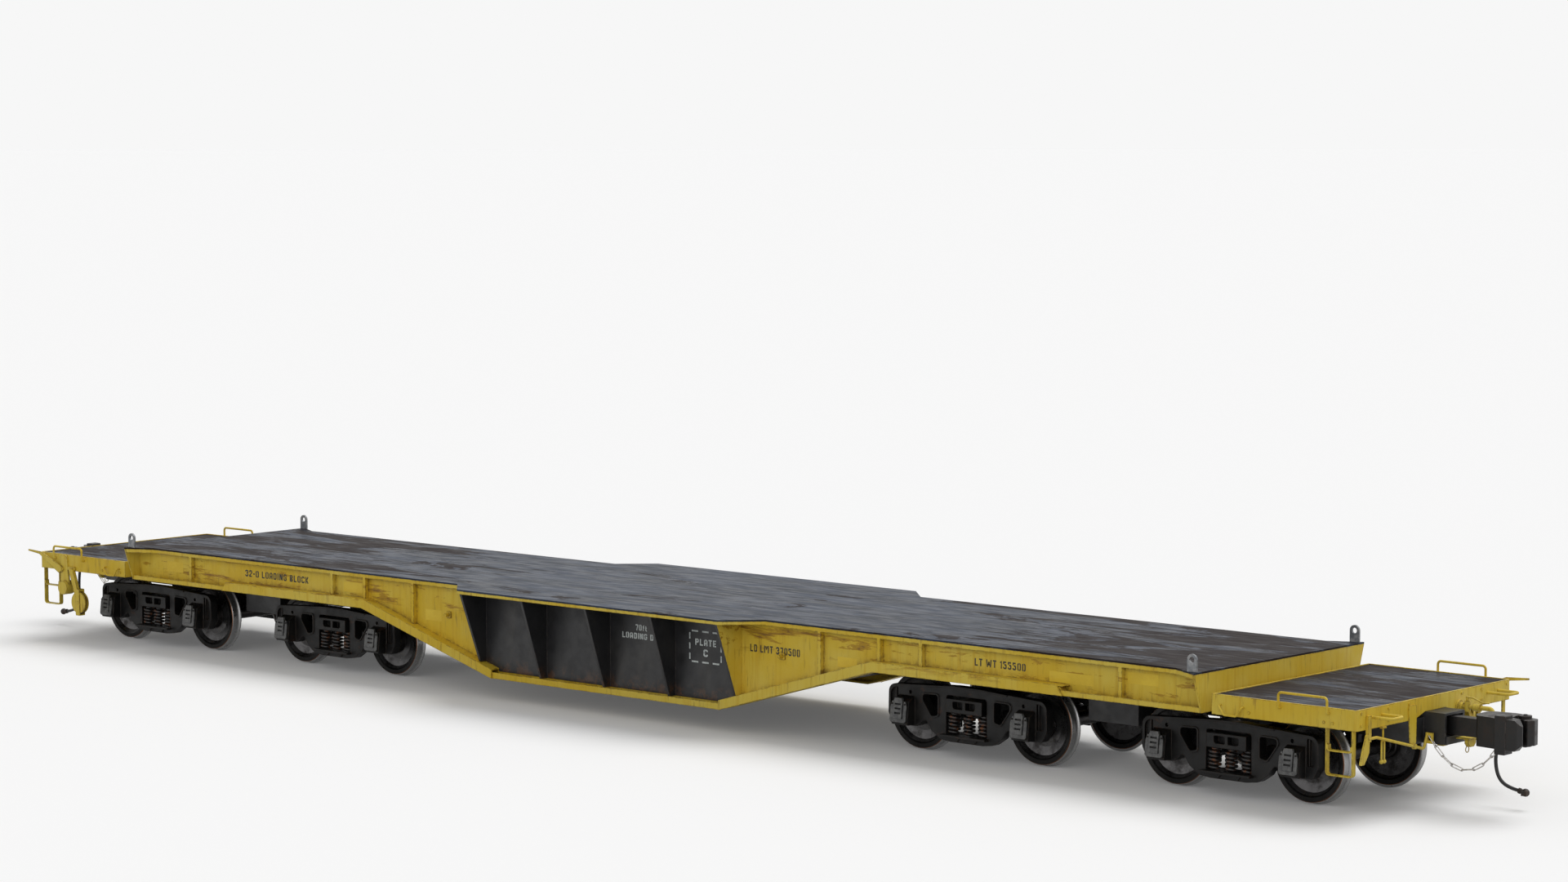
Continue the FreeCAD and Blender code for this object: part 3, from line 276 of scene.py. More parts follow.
wheelLook = {"plate": (0.115, 0.112, 0.113), "grime": (0.030, 0.027, 0.026), "rim": (0.012, 0.0115, 0.011),
             "line": (0.14, 0.062, 0.03), "tread": (0.34, 0.34, 0.34), "hub": 0.17, "plateEdge": 0.378,
             "rimEdge": 0.443, "treadEdge": 0.452}


def makeWheelSteel(place):
    # by distance from the axle: dark hub, bright plate, black rim, rusty line, bright tread
    f = Finish("wheelSteel_" + place[0], 0.8)
    look = wheelLook
    centre = f.stretched(1, 0, 1, (-place[1], 0, -place[2]))
    length = f.tree.nodes.new("ShaderNodeVectorMath")
    length.operation = "LENGTH"
    f.link(centre, length.inputs[0])
    radius = length.outputs["Value"]
    blotch = f.step(f.noise(f.coords, 5, 7, 0.65), 0.46, 0.66)
    plate = f.mix(blotch, look["plate"], look["grime"])
    colour = f.mix(f.step(radius, look["hub"] - 0.01, look["hub"] + 0.02), look["grime"], plate)
    colour = f.mix(f.step(radius, look["plateEdge"] - 0.006, look["plateEdge"] + 0.006), colour, look["rim"])
    colour = f.mix(f.step(radius, look["rimEdge"] - 0.002, look["rimEdge"] + 0.001), colour, look["line"])
    colour = f.mix(f.step(radius, look["treadEdge"] - 0.003, look["treadEdge"]), colour, look["tread"])
    f.colour(colour)
    f.rough(f.step(f.noise(f.coords, 9, 5), 0.3, 0.7, 0.24, 0.42))
    f.bump(f.noise(f.coords, 40, 3), 0.001, 0.2, 0.004)
    return f.material


couplerLook = {"iron": (0.0065, 0.006, 0.006), "brown": (0.020, 0.014, 0.011), "worn": (0.13, 0.10, 0.085),
               "edgeRadius": 0.012}


def makeCouplerCasting():
    f = Finish("couplerCasting", 0.3)
    look = couplerLook
    patches = f.step(f.noise(f.coords, 7, 8, 0.7), 0.5, 0.64)
    colour = f.mix(patches, look["iron"], look["brown"])
    worn = f.math("MULTIPLY", f.edges(look["edgeRadius"]), f.step(f.noise(f.coords, 18, 6, 0.7), 0.4, 0.6))
    f.colour(f.mix(f.math("MULTIPLY", worn, 0.7), colour, look["worn"]))
    f.rough(f.step(patches, 0, 1, 0.40, 0.66))
    f.bump(f.noise(f.coords, 120, 5, 0.65), 0.0025, 0.6)
    return f.material


def makePlain(name, first, second, metallic, low, high, scale=12):
    # two tones in soft patches, for small fittings
    f = Finish(name, metallic)
    patches = f.step(f.noise(f.coords, scale, 7, 0.65), 0.4, 0.64)
    f.colour(f.mix(patches, first, second))
    f.rough(f.step(patches, 0, 1, low, high))
    f.bump(f.noise(f.coords, scale * 9, 4), 0.0008, 0.35)
    return f.material


yellowPaint = makeYellowPaint()
deckSteel = makeDeckSteel()
blackPaint = makeBlackPaint()
truckCasting = makeTruckCasting()
springSteel = makeSpringSteel()
couplerCasting = makeCouplerCasting()
hoseRubber = makePlain("hoseRubber", (0.012, 0.012, 0.012), (0.024, 0.022, 0.021), 0.0, 0.5, 0.68, 30)
pipeMetal = makePlain("pipeMetal", (0.022, 0.018, 0.016), (0.055, 0.036, 0.026), 0.5, 0.4, 0.65)
lidGrey = makePlain("lidGrey", (0.060, 0.060, 0.060), (0.135, 0.135, 0.132), 0.2, 0.36, 0.55, 16)
letterBlack = makePlain("letterBlack", (0.010, 0.009, 0.008), (0.06, 0.045, 0.015), 0.0, 0.5, 0.65, 25)
freshYellow = makePlain("freshYellow", (0.74, 0.53, 0.03), (0.68, 0.47, 0.03), 0.0, 0.42, 0.55, 4)
letterWhite = makePlain("letterWhite", (0.62, 0.66, 0.64), (0.46, 0.50, 0.49), 0.0, 0.5, 0.65, 25)
lugSteel = makePlain("lugSteel", (0.16, 0.17, 0.18), (0.30, 0.30, 0.30), 0.6, 0.35, 0.55, 14)
chainSteel = makePlain("chainSteel", (0.42, 0.40, 0.38), (0.60, 0.58, 0.55), 0.85, 0.28, 0.45, 30)
greenMark = makePlain("greenMark", (0.03, 0.30, 0.08), (0.04, 0.22, 0.07), 0.0, 0.5, 0.6, 30)
print("materials made")


def dress(node, material):
    nodes[node].data.materials.clear()
    nodes[node].data.materials.append(material)


def dressNodes():
    looks = {"deck": deckSteel, "platform_tread": deckSteel,
             "middle_bay": blackPaint, "centre_sill": blackPaint, "cross_bearers": blackPaint,
             "span_bolster": blackPaint, "draft_housing": blackPaint,
             "sideframes": truckCasting, "truck_bolster": truckCasting, "brake_beams": truckCasting,
             "spring_nests": springSteel, "coupler": couplerCasting, "knuckle": couplerCasting,
             "air_hose": hoseRubber, "gladhand": pipeMetal, "lashing_lugs": lugSteel}
    for node in nodes:
        if node.startswith("wheelset"):
            low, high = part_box(node)
            dress(node, makeWheelSteel((node.split("_")[1], (low[0] + high[0]) / 2, (low[2] + high[2]) / 2)))
            continue
        for start, material in looks.items():
            if node.startswith(start):
                dress(node, material)
                break
        else:
            dress(node, yellowPaint)


dressNodes()
print("nodes dressed")


def turned(point, sign):
    return Vector((point[0] * sign, point[1] * sign, point[2]))


def meshPiece(name, mesh, body, material, replaced=()):
    piece = bpy.data.objects.new(name, mesh)
    bpy.context.scene.collection.objects.link(piece)
    mesh.materials.clear()
    mesh.materials.append(material)
    if body:
        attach(piece, body)
    if replaced:
        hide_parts(*replaced)
    return piece


def builtMesh(name, build, merge=True):
    bm = bmesh.new()
    build(bm)
    if merge:
        bmesh.ops.remove_doubles(bm, verts=bm.verts, dist=1e-5)
    bmesh.ops.recalc_face_normals(bm, faces=bm.faces)
    mesh = bpy.data.meshes.new(name)
    bm.to_mesh(mesh)
    bm.free()
    return mesh


def addPrism(bm, outline, place, depth):
    # a closed prism over a flat outline; place(a, b, c) puts it in space
    low = [bm.verts.new(place(a, b, 0.0)) for a, b in outline]
    high = [bm.verts.new(place(a, b, depth)) for a, b in outline]
    count = len(outline)
    bm.faces.new(low[::-1])
    bm.faces.new(high)
    for i in range(count):
        bm.faces.new((low[i], low[(i + 1) % count], high[(i + 1) % count], high[i]))


def tubePiece(name, points, radius, body, material, resolution=6, order=3, cyclic=False):
    curve = bpy.data.curves.new(name, "CURVE")
    curve.dimensions = "3D"
    spline = curve.splines.new("NURBS")
    spline.points.add(len(points) - 1)
    for target, point in zip(spline.points, points):
        target.co = (*point, 1.0)
    spline.order_u = order
    spline.use_endpoint_u = not cyclic
    spline.use_cyclic_u = cyclic
    spline.resolution_u = resolution
    curve.bevel_depth = radius
    curve.bevel_resolution = 3
    curve.use_fill_caps = True
    curve.materials.append(material)
    piece = bpy.data.objects.new(name, curve)
    bpy.context.scene.collection.objects.link(piece)
    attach(piece, body)
    return piece


def makeBays():
    for side in ("left", "right"):
        node = "middle_bay_" + side
        bm = bmesh.new()
        bm.from_mesh(nodes[node].data)
        bmesh.ops.remove_doubles(bm, verts=bm.verts, dist=1e-5)
        # the outermost upright faces stay yellow
        reach = max(v.co.x for v in bm.verts) - 0.001
        for face in bm.faces:
            face.material_index = int(abs(face.calc_center_median().x) > reach and abs(face.normal.x) > 0.9)
        mesh = bpy.data.meshes.new("bays_" + side)
        bm.to_mesh(mesh)
        bm.free()
        outer = [face.index for face in mesh.polygons if face.material_index]
        piece = meshPiece("bays_" + side, mesh, "carbody", blackPaint, [node])
        piece.data.materials.append(yellowPaint)
        for index in outer:
            piece.data.polygons[index].material_index = 1


makeBays()
print("bays painted")


hose = {"radius": 0.020, "length": 0.915, "resolution": 16,
        "points": [(11.4877, 0.4648, 0.9494), (11.5117, 0.4688, 0.7994), (11.5217, 0.4728, 0.6294),
                   (11.5097, 0.4768, 0.4594), (11.5517, 0.4788, 0.3094), (11.6657, 0.4748, 0.2274),
                   (11.8057, 0.4688, 0.2074)]}


def makeHoses():
    for end, sign in ends.items():
        points = [turned(point, sign) for point in hose["points"]]
        piece = tubePiece("airHose_" + end, points, hose["radius"], "span_" + end, hoseRubber,
                          hose["resolution"])
        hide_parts("air_hose_" + end)


makeHoses()
print("hoses made")


coil = {"radius": 0.0575, "wire": 0.0185, "turns": 5.2, "innerShare": 0.50, "pitch": 0.220,
        "stepsPerTurn": 26, "sides": 8}


def coilTree():
    tree = bpy.data.node_groups.new("coilSprings", "GeometryNodeTree")
    tree.interface.new_socket("Geometry", in_out="INPUT", socket_type="NodeSocketGeometry")
    for name, value in (("Radius", 0.08), ("Height", 0.26), ("Wire", 0.017), ("Turns", 5.5)):
        tree.interface.new_socket(name, in_out="INPUT", socket_type="NodeSocketFloat").default_value = value
    tree.interface.new_socket("Material", in_out="INPUT", socket_type="NodeSocketMaterial")
    tree.interface.new_socket("Geometry", in_out="OUTPUT", socket_type="NodeSocketGeometry")
    new, link = tree.nodes.new, tree.links.new
    given, result = new("NodeGroupInput"), new("NodeGroupOutput")
    spiral, profile = new("GeometryNodeCurveSpiral"), new("GeometryNodeCurvePrimitiveCircle")
    tube, instances = new("GeometryNodeCurveToMesh"), new("GeometryNodeInstanceOnPoints")
    realize, paint = new("GeometryNodeRealizeInstances"), new("GeometryNodeSetMaterial")
    spiral.inputs["Resolution"].default_value = coil["stepsPerTurn"]
    profile.inputs["Resolution"].default_value = coil["sides"]
    tube.inputs["Fill Caps"].default_value = True
    link(given.outputs["Turns"], spiral.inputs["Rotations"])
    link(given.outputs["Radius"], spiral.inputs["Start Radius"])
    link(given.outputs["Radius"], spiral.inputs["End Radius"])
    link(given.outputs["Height"], spiral.inputs["Height"])
    link(given.outputs["Wire"], profile.inputs["Radius"])
    link(spiral.outputs["Curve"], tube.inputs["Curve"])
    link(profile.outputs["Curve"], tube.inputs["Profile Curve"])
    link(given.outputs["Geometry"], instances.inputs["Points"])
    link(tube.outputs["Mesh"], instances.inputs["Instance"])
    link(instances.outputs["Instances"], realize.inputs["Geometry"])
    link(realize.outputs["Geometry"], paint.inputs["Geometry"])
    link(given.outputs["Material"], paint.inputs["Material"])
    link(paint.outputs["Geometry"], result.inputs["Geometry"])
    return tree


def setInputs(modifier, values):
    for item in modifier.node_group.interface.items_tree:
        if item.item_type == "SOCKET" and item.in_out == "INPUT" and item.name in values:
            modifier[item.identifier] = values[item.name]


def grownMesh(name, points, tree, values, turns=None):
    # runs a Geometry Nodes tree on loose points and returns the plain mesh
    seed = bpy.data.meshes.new(name + "Points")
    seed.from_pydata([tuple(point) for point in points], [], [])
    if turns:
        attribute = seed.attributes.new("turn", "FLOAT_VECTOR", "POINT")
        for entry, angles in zip(attribute.data, turns):
            entry.vector = angles
    holder = bpy.data.objects.new(name + "Holder", seed)
    bpy.context.scene.collection.objects.link(holder)
    modifier = holder.modifiers.new("grow", "NODES")
    modifier.node_group = tree
    setInputs(modifier, values)
    view = bpy.context.evaluated_depsgraph_get()
    mesh = bpy.data.meshes.new_from_object(holder.evaluated_get(view))
    mesh.name = name
    bpy.data.objects.remove(holder)
    return mesh


def placedTree(name, addShape):
    # one small shape at every point, turned as the point's own angles say
    tree = bpy.data.node_groups.new(name, "GeometryNodeTree")
    tree.interface.new_socket("Geometry", in_out="INPUT", socket_type="NodeSocketGeometry")
    tree.interface.new_socket("Size", in_out="INPUT", socket_type="NodeSocketFloat").default_value = 0.02
    tree.interface.new_socket("Length", in_out="INPUT", socket_type="NodeSocketFloat").default_value = 0.02
    tree.interface.new_socket("Material", in_out="INPUT", socket_type="NodeSocketMaterial")
    tree.interface.new_socket("Geometry", in_out="OUTPUT", socket_type="NodeSocketGeometry")
    new, link = tree.nodes.new, tree.links.new
    given, result = new("NodeGroupInput"), new("NodeGroupOutput")
    turn, instances = new("GeometryNodeInputNamedAttribute"), new("GeometryNodeInstanceOnPoints")
    realize, paint = new("GeometryNodeRealizeInstances"), new("GeometryNodeSetMaterial")
    turn.data_type = "FLOAT_VECTOR"
    turn.inputs["Name"].default_value = "turn"
    link(given.outputs["Geometry"], instances.inputs["Points"])
    link(addShape(new, link, given), instances.inputs["Instance"])
    link(turn.outputs["Attribute"], instances.inputs["Rotation"])
    link(instances.outputs["Instances"], realize.inputs["Geometry"])
    link(realize.outputs["Geometry"], paint.inputs["Geometry"])
    link(given.outputs["Material"], paint.inputs["Material"])
    link(paint.outputs["Geometry"], result.inputs["Geometry"])
    return tree


def boltShape(new, link, given):
    # a six-sided head that stands along Z
    head = new("GeometryNodeMeshCylinder")
    head.inputs["Vertices"].default_value = 6
    link(given.outputs["Size"], head.inputs["Radius"])
    link(given.outputs["Length"], head.inputs["Depth"])
    return head.outputs["Mesh"]


def linkShape(new, link, given):
    # an oblong ring in the XY plane, long in X
    ring, corners = new("GeometryNodeCurvePrimitiveQuadrilateral"), new("GeometryNodeFilletCurve")
    profile, tube = new("GeometryNodeCurvePrimitiveCircle"), new("GeometryNodeCurveToMesh")
    share = new("ShaderNodeMath")
    share.operation = "MULTIPLY"
    share.inputs[1].default_value = chain["wideInWires"]
    corners.mode = "POLY"
    corners.inputs["Count"].default_value = chain["cornerSteps"]
    corners.inputs["Limit Radius"].default_value = True
    profile.inputs["Resolution"].default_value = chain["sides"]
    link(given.outputs["Size"], profile.inputs["Radius"])
    link(given.outputs["Size"], share.inputs[0])
    link(given.outputs["Length"], ring.inputs["Width"])
    link(share.outputs["Value"], ring.inputs["Height"])
    link(share.outputs["Value"], corners.inputs["Radius"])
    link(ring.outputs["Curve"], corners.inputs["Curve"])
    link(corners.outputs["Curve"], tube.inputs["Curve"])
    link(profile.outputs["Curve"], tube.inputs["Profile Curve"])
    return tube.outputs["Mesh"]


def joinedMesh(name, meshes):
    bm = bmesh.new()
    for mesh in meshes:
        bm.from_mesh(mesh)
        bpy.data.meshes.remove(mesh)
    joined = bpy.data.meshes.new(name)
    bm.to_mesh(joined)
    bm.free()
    for polygon in joined.polygons:
        polygon.use_smooth = True
    return joined


def makeSprings():
    tree = coilTree()
    for number in range(1, 5):
        node = f"spring_nests_{number}"
        low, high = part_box(node)
        centre = (low[0] + high[0]) / 2
        across = (high[1] - low[1]) / 2 - coil["radius"] - coil["wire"]
        meshes = []
        # the inner coil is narrower, of thinner wire and with more turns
        for share in (1.0, coil["innerShare"]):
            wire = coil["wire"] * (0.5 + share / 2)
            points = [(centre + i * coil["pitch"], side * across, low[2] + wire)
                      for side in (1, -1) for i in (-1, 0, 1)]
            values = {"Radius": coil["radius"] * share, "Height": high[2] - low[2] - 2 * wire, "Wire": wire,
                      "Turns": coil["turns"] / (0.35 + 0.65 * share), "Material": springSteel}
            meshes.append(grownMesh(f"coils_{number}", points, tree, values))
        mesh = joinedMesh(f"coils_{number}", meshes)
        meshPiece(f"coilSprings_{number}", mesh, f"truck_{number}", springSteel, [node])


makeSprings()
print("springs made")


lid = {"lean": 0.115, "face": 1.2258, "foot": 0.376, "low": 0.386, "footCorner": 0.02,
       "armTop": 0.632, "armWide": 0.118, "arm": 0.046, "earDrop": 0.03, "earInset": 0.022,
       "shoulder": 0.06, "innerLean": 0.008, "collarThick": 0.018,
       "panelWide": 0.128, "panelTop": 0.672, "panelLow": 0.432, "panelThick": 0.032, "panelCorner": 0.012,
       "slotWide": 0.092, "slotHigh": 0.020, "slots": (0.495, 0.548, 0.601)}


def makeLids():
    # a U-shaped collar round a raised panel with three level slots
    arm, wide, half, slot = lid["arm"], lid["armWide"], lid["panelWide"] / 2, lid["slotWide"] / 2
    low, foot, top, cut = lid["low"], lid["low"] + lid["arm"], lid["armTop"], lid["footCorner"]
    collar = [[(-wide, low + cut), (-wide + cut, low), (wide - cut, low), (wide, low + cut),
               (wide, foot), (-wide, foot)]]
    collar += [[(side * wide, foot), (side * (wide - arm), foot), (side * (wide - arm), top - lid["earDrop"]),
                (side * (wide - arm + lid["innerLean"]), top), (side * (wide - lid["earInset"]), top),
                (side * wide, top - lid["shoulder"])] for side in (1, -1)]
    levels = [lid["panelLow"]]
    for level in lid["slots"]:
        levels += [level - lid["slotHigh"] / 2, level + lid["slotHigh"] / 2]
    levels.append(lid["panelTop"])
    panel = [[(-slot, a), (slot, a), (slot, b), (-slot, b)] for a, b in zip(levels[:-2:2], levels[1:-2:2])]
    panel.append([(-slot, levels[-2]), (slot, levels[-2]), (slot, levels[-1]), (-slot, levels[-1])])
    panel += [[(side * slot, levels[0]), (side * half, levels[0]), (side * half, levels[-1] - lid["earDrop"]),
               (side * (half - lid["panelCorner"]), levels[-1]), (side * slot, levels[-1])]
              for side in (1, -1)]
    for number in range(1, 5):
        axles = [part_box(f"wheelset_{2 * number - 1}"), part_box(f"wheelset_{2 * number}")]

        def build(bm):
            for low, high in axles:
                for side in (1, -1):
                    def place(a, b, c):
                        y = lid["face"] - (b - lid["foot"]) * lid["lean"] + c
                        return Vector(((low[0] + high[0]) / 2 + a, side * y, b))
                    for outline in collar:
                        addPrism(bm, outline, place, lid["collarThick"])
                    for outline in panel:
                        addPrism(bm, outline, place, lid["panelThick"])
        meshPiece(f"lidPlates_{number}", builtMesh(f"lidPlates_{number}", build, False), f"truck_{number}",
                  lidGrey)


makeLids()
print("lids made")


bolts = {"head": 0.017, "depth": 0.022, "small": 0.011, "earPlace": 0.096, "endRows": (0.058, 0.182),
         "endPlaces": (0.52, 0.92, 1.44), "sidePlaces": (0.10, 0.49, 1.45, 1.56), "sideRise": 0.062}


def makeBolts():
    # heads on the sills of both platforms, and at the ears of the journal box lids
    tree = placedTree("boltHeads", boltShape)
    values = {"Size": bolts["head"], "Length": bolts["depth"], "Material": yellowPaint}
    low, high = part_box("platform_frame_b")
    places = [((high[0], side * y, low[2] + z), (0, math.pi / 2, 0))
              for side in (1, -1) for y in bolts["endPlaces"] for z in bolts["endRows"]]
    places += [((low[0] + x, side * high[1], low[2] + bolts["sideRise"]), (math.pi / 2, 0, 0))
               for side in (1, -1) for x in bolts["sidePlaces"]]
    for end, sign in ends.items():
        mesh = grownMesh("sillBolts_" + end, [turned(place, sign) for place, _ in places], tree, values,
                         [turn for _, turn in places])
        meshPiece("sillBolts_" + end, mesh, "span_" + end, yellowPaint)
    ear = lid["armTop"] - lid["earDrop"]
    reach = lid["face"] - (ear - lid["foot"]) * lid["lean"] + lid["collarThick"]
    for number in range(1, 5):
        points = []
        for axle in (2 * number - 1, 2 * number):
            low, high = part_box(f"wheelset_{axle}")
            centre = (low[0] + high[0]) / 2
            points += [(centre + a * bolts["earPlace"], side * reach, ear)
                       for a in (1, -1) for side in (1, -1)]
        mesh = grownMesh(f"lidBolts_{number}", points, tree,
                         {"Size": bolts["small"], "Length": bolts["depth"], "Material": truckCasting},
                         [(math.pi / 2, 0, 0)] * len(points))
        meshPiece(f"lidBolts_{number}", mesh, f"truck_{number}", truckCasting)


makeBolts()
print("bolts made")


chain = {"wire": 0.0060, "links": 8, "start": (11.128, -0.238, 0.815), "end": (11.93, -0.155, 0.765),
         "sag": 0.30, "steps": 200, "overlapInWires": 3.2, "wideInWires": 5.2, "cornerSteps": 5, "sides": 8}


def makeChains():
    # hangs from the uncoupling rod's loop to the coupler head, every second link turned on its side
    tree = placedTree("chainLinks", linkShape)
    start, end = Vector(chain["start"]), Vector(chain["end"])

    def along(share):
        point = start.lerp(end, share)
        point.z -= chain["sag"] * 4 * share * (1 - share)
        return point

    count, last = chain["links"], chain["steps"]
    steps = [along(i / last) for i in range(last + 1)]
    lengths = [0.0]
    for a, b in zip(steps, steps[1:]):
        lengths.append(lengths[-1] + (b - a).length)
    for name, sign in ends.items():
        points, turns = [], []
        for i in range(count):
            target = lengths[-1] * (i + 0.5) / count
            at = min(range(last + 1), key=lambda k: abs(lengths[k] - target))
            way = (steps[min(at + 1, last)] - steps[max(at - 1, 0)]).normalized()
            way.x, way.y = way.x * sign, way.y * sign
            rolled = Matrix.Rotation(math.pi / 2 * (i % 2), 3, "X")
            angles = way.to_track_quat("X", "Z").to_matrix() @ rolled
            points.append(turned(steps[at], sign))
            turns.append(tuple(angles.to_euler()))
        size = lengths[-1] / count + chain["wire"] * chain["overlapInWires"]
        mesh = grownMesh("liftChain_" + name, points, tree,
                         {"Size": chain["wire"], "Length": size, "Material": chainSteel}, turns)
        piece = meshPiece("liftChain_" + name, mesh, None, chainSteel)
        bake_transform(piece)


makeChains()
print("chains made")


stop = {"x": 11.40, "y": 0.10, "top": 0.775, "width": 0.15, "height": 0.085, "depth": 0.05,
        "bend": 0.55, "foot": 0.5,
        "plateWide": 1.3, "plateThick": 0.012, "plateBack": 0.12, "plateLong": 0.19,
        "ring": 0.034, "wire": 0.005, "ringX": 0.02, "ringY": 0.05, "ringRise": 0.008, "ringPoints": 10}


def makeStops():
    # small yellow bracket under the draft housing, with a ring through its lug
    for end, sign in ends.items():
        def build(bm):
            x, y, top = stop["x"], stop["y"], stop["top"]
            w, h, d = stop["width"] / 2, stop["height"], stop["depth"]

            def across(a, b, c):
                return turned((x + c, y + a, top + b), sign)
            bend, foot, wide, thick = stop["bend"], stop["foot"], stop["plateWide"], stop["plateThick"]
            addPrism(bm, [(-w, 0), (-w, -h * bend), (-w * foot, -h), (w * foot, -h), (w, -h * bend), (w, 0)],
                     across, d)
            addPrism(bm, [(-w * wide, 0.0), (w * wide, 0.0), (w * wide, thick), (-w * wide, thick)],
                     lambda a, b, c: across(a, b, c - stop["plateBack"]), stop["plateLong"])
        meshPiece("stopBracket_" + end, builtMesh("stopBracket_" + end, build, False), "span_" + end,
                  yellowPaint)
        middle = turned((stop["x"] + stop["ringX"], stop["y"] - stop["ringY"],
                         stop["top"] - stop["height"] - stop["ring"] + stop["ringRise"]), sign)
        points = [middle + Vector((0, math.cos(a) * stop["ring"], math.sin(a) * stop["ring"]))
                  for a in (math.tau * i / stop["ringPoints"] for i in range(stop["ringPoints"]))]
        tubePiece("stopRing_" + end, points, stop["wire"], "span_" + end, yellowPaint,
                  4, 3, True)


makeStops()
print("stops made")


rigging = {"rod": 0.016, "rodDrop": 0.165, "rodY": 0.17, "reach": 0.33, "lever": (0.030, 0.012),
           "leverLow": -0.22, "leverHigh": 0.10, "leverTip": 0.6}


def makeRigging():
    # bottom rods between the brake beams, and an upright lever at each end of them
    for number in range(1, 5):
        low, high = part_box(f"truck_bolster_{number}")
        centre = (low[0] + high[0]) / 2
        wheelLow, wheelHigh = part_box(f"wheelset_{2 * number}")
        axle = (wheelLow[2] + wheelHigh[2]) / 2

        def build(bm):
            half, thick = rigging["lever"]
            foot, head = axle + rigging["leverLow"], axle + rigging["leverHigh"]
            for side in (1, -1):
                x = centre + side * rigging["reach"]
                for y in (-rigging["rodY"], rigging["rodY"]):
                    addPrism(bm, [(x - half, foot), (x + half, foot),
                                  (x + half * rigging["leverTip"], head),
                                  (x - half * rigging["leverTip"], head)],
                             lambda a, b, c: Vector((a, y + c, b)), thick)
            rod = rigging["rod"]
            for y in (-rigging["rodY"], rigging["rodY"]):
                z = axle - rigging["rodDrop"]
                addPrism(bm, [(y - rod, z - rod), (y + rod, z - rod), (y + rod, z + rod), (y - rod, z + rod)],
                         lambda a, b, c: Vector((centre - rigging["reach"] + c, a, b)), 2 * rigging["reach"])
        meshPiece(f"brakeRods_{number}", builtMesh(f"brakeRods_{number}", build, False), f"truck_{number}",
                  truckCasting)


makeRigging()
print("rigging made")


lettering = {"stroke": 2.1, "mitre": 1.35, "gap": 2.2, "space": 4.4, "web": 1.380, "skin": 1.388,
             "lift": 0.0012, "patchLift": 0.0006}

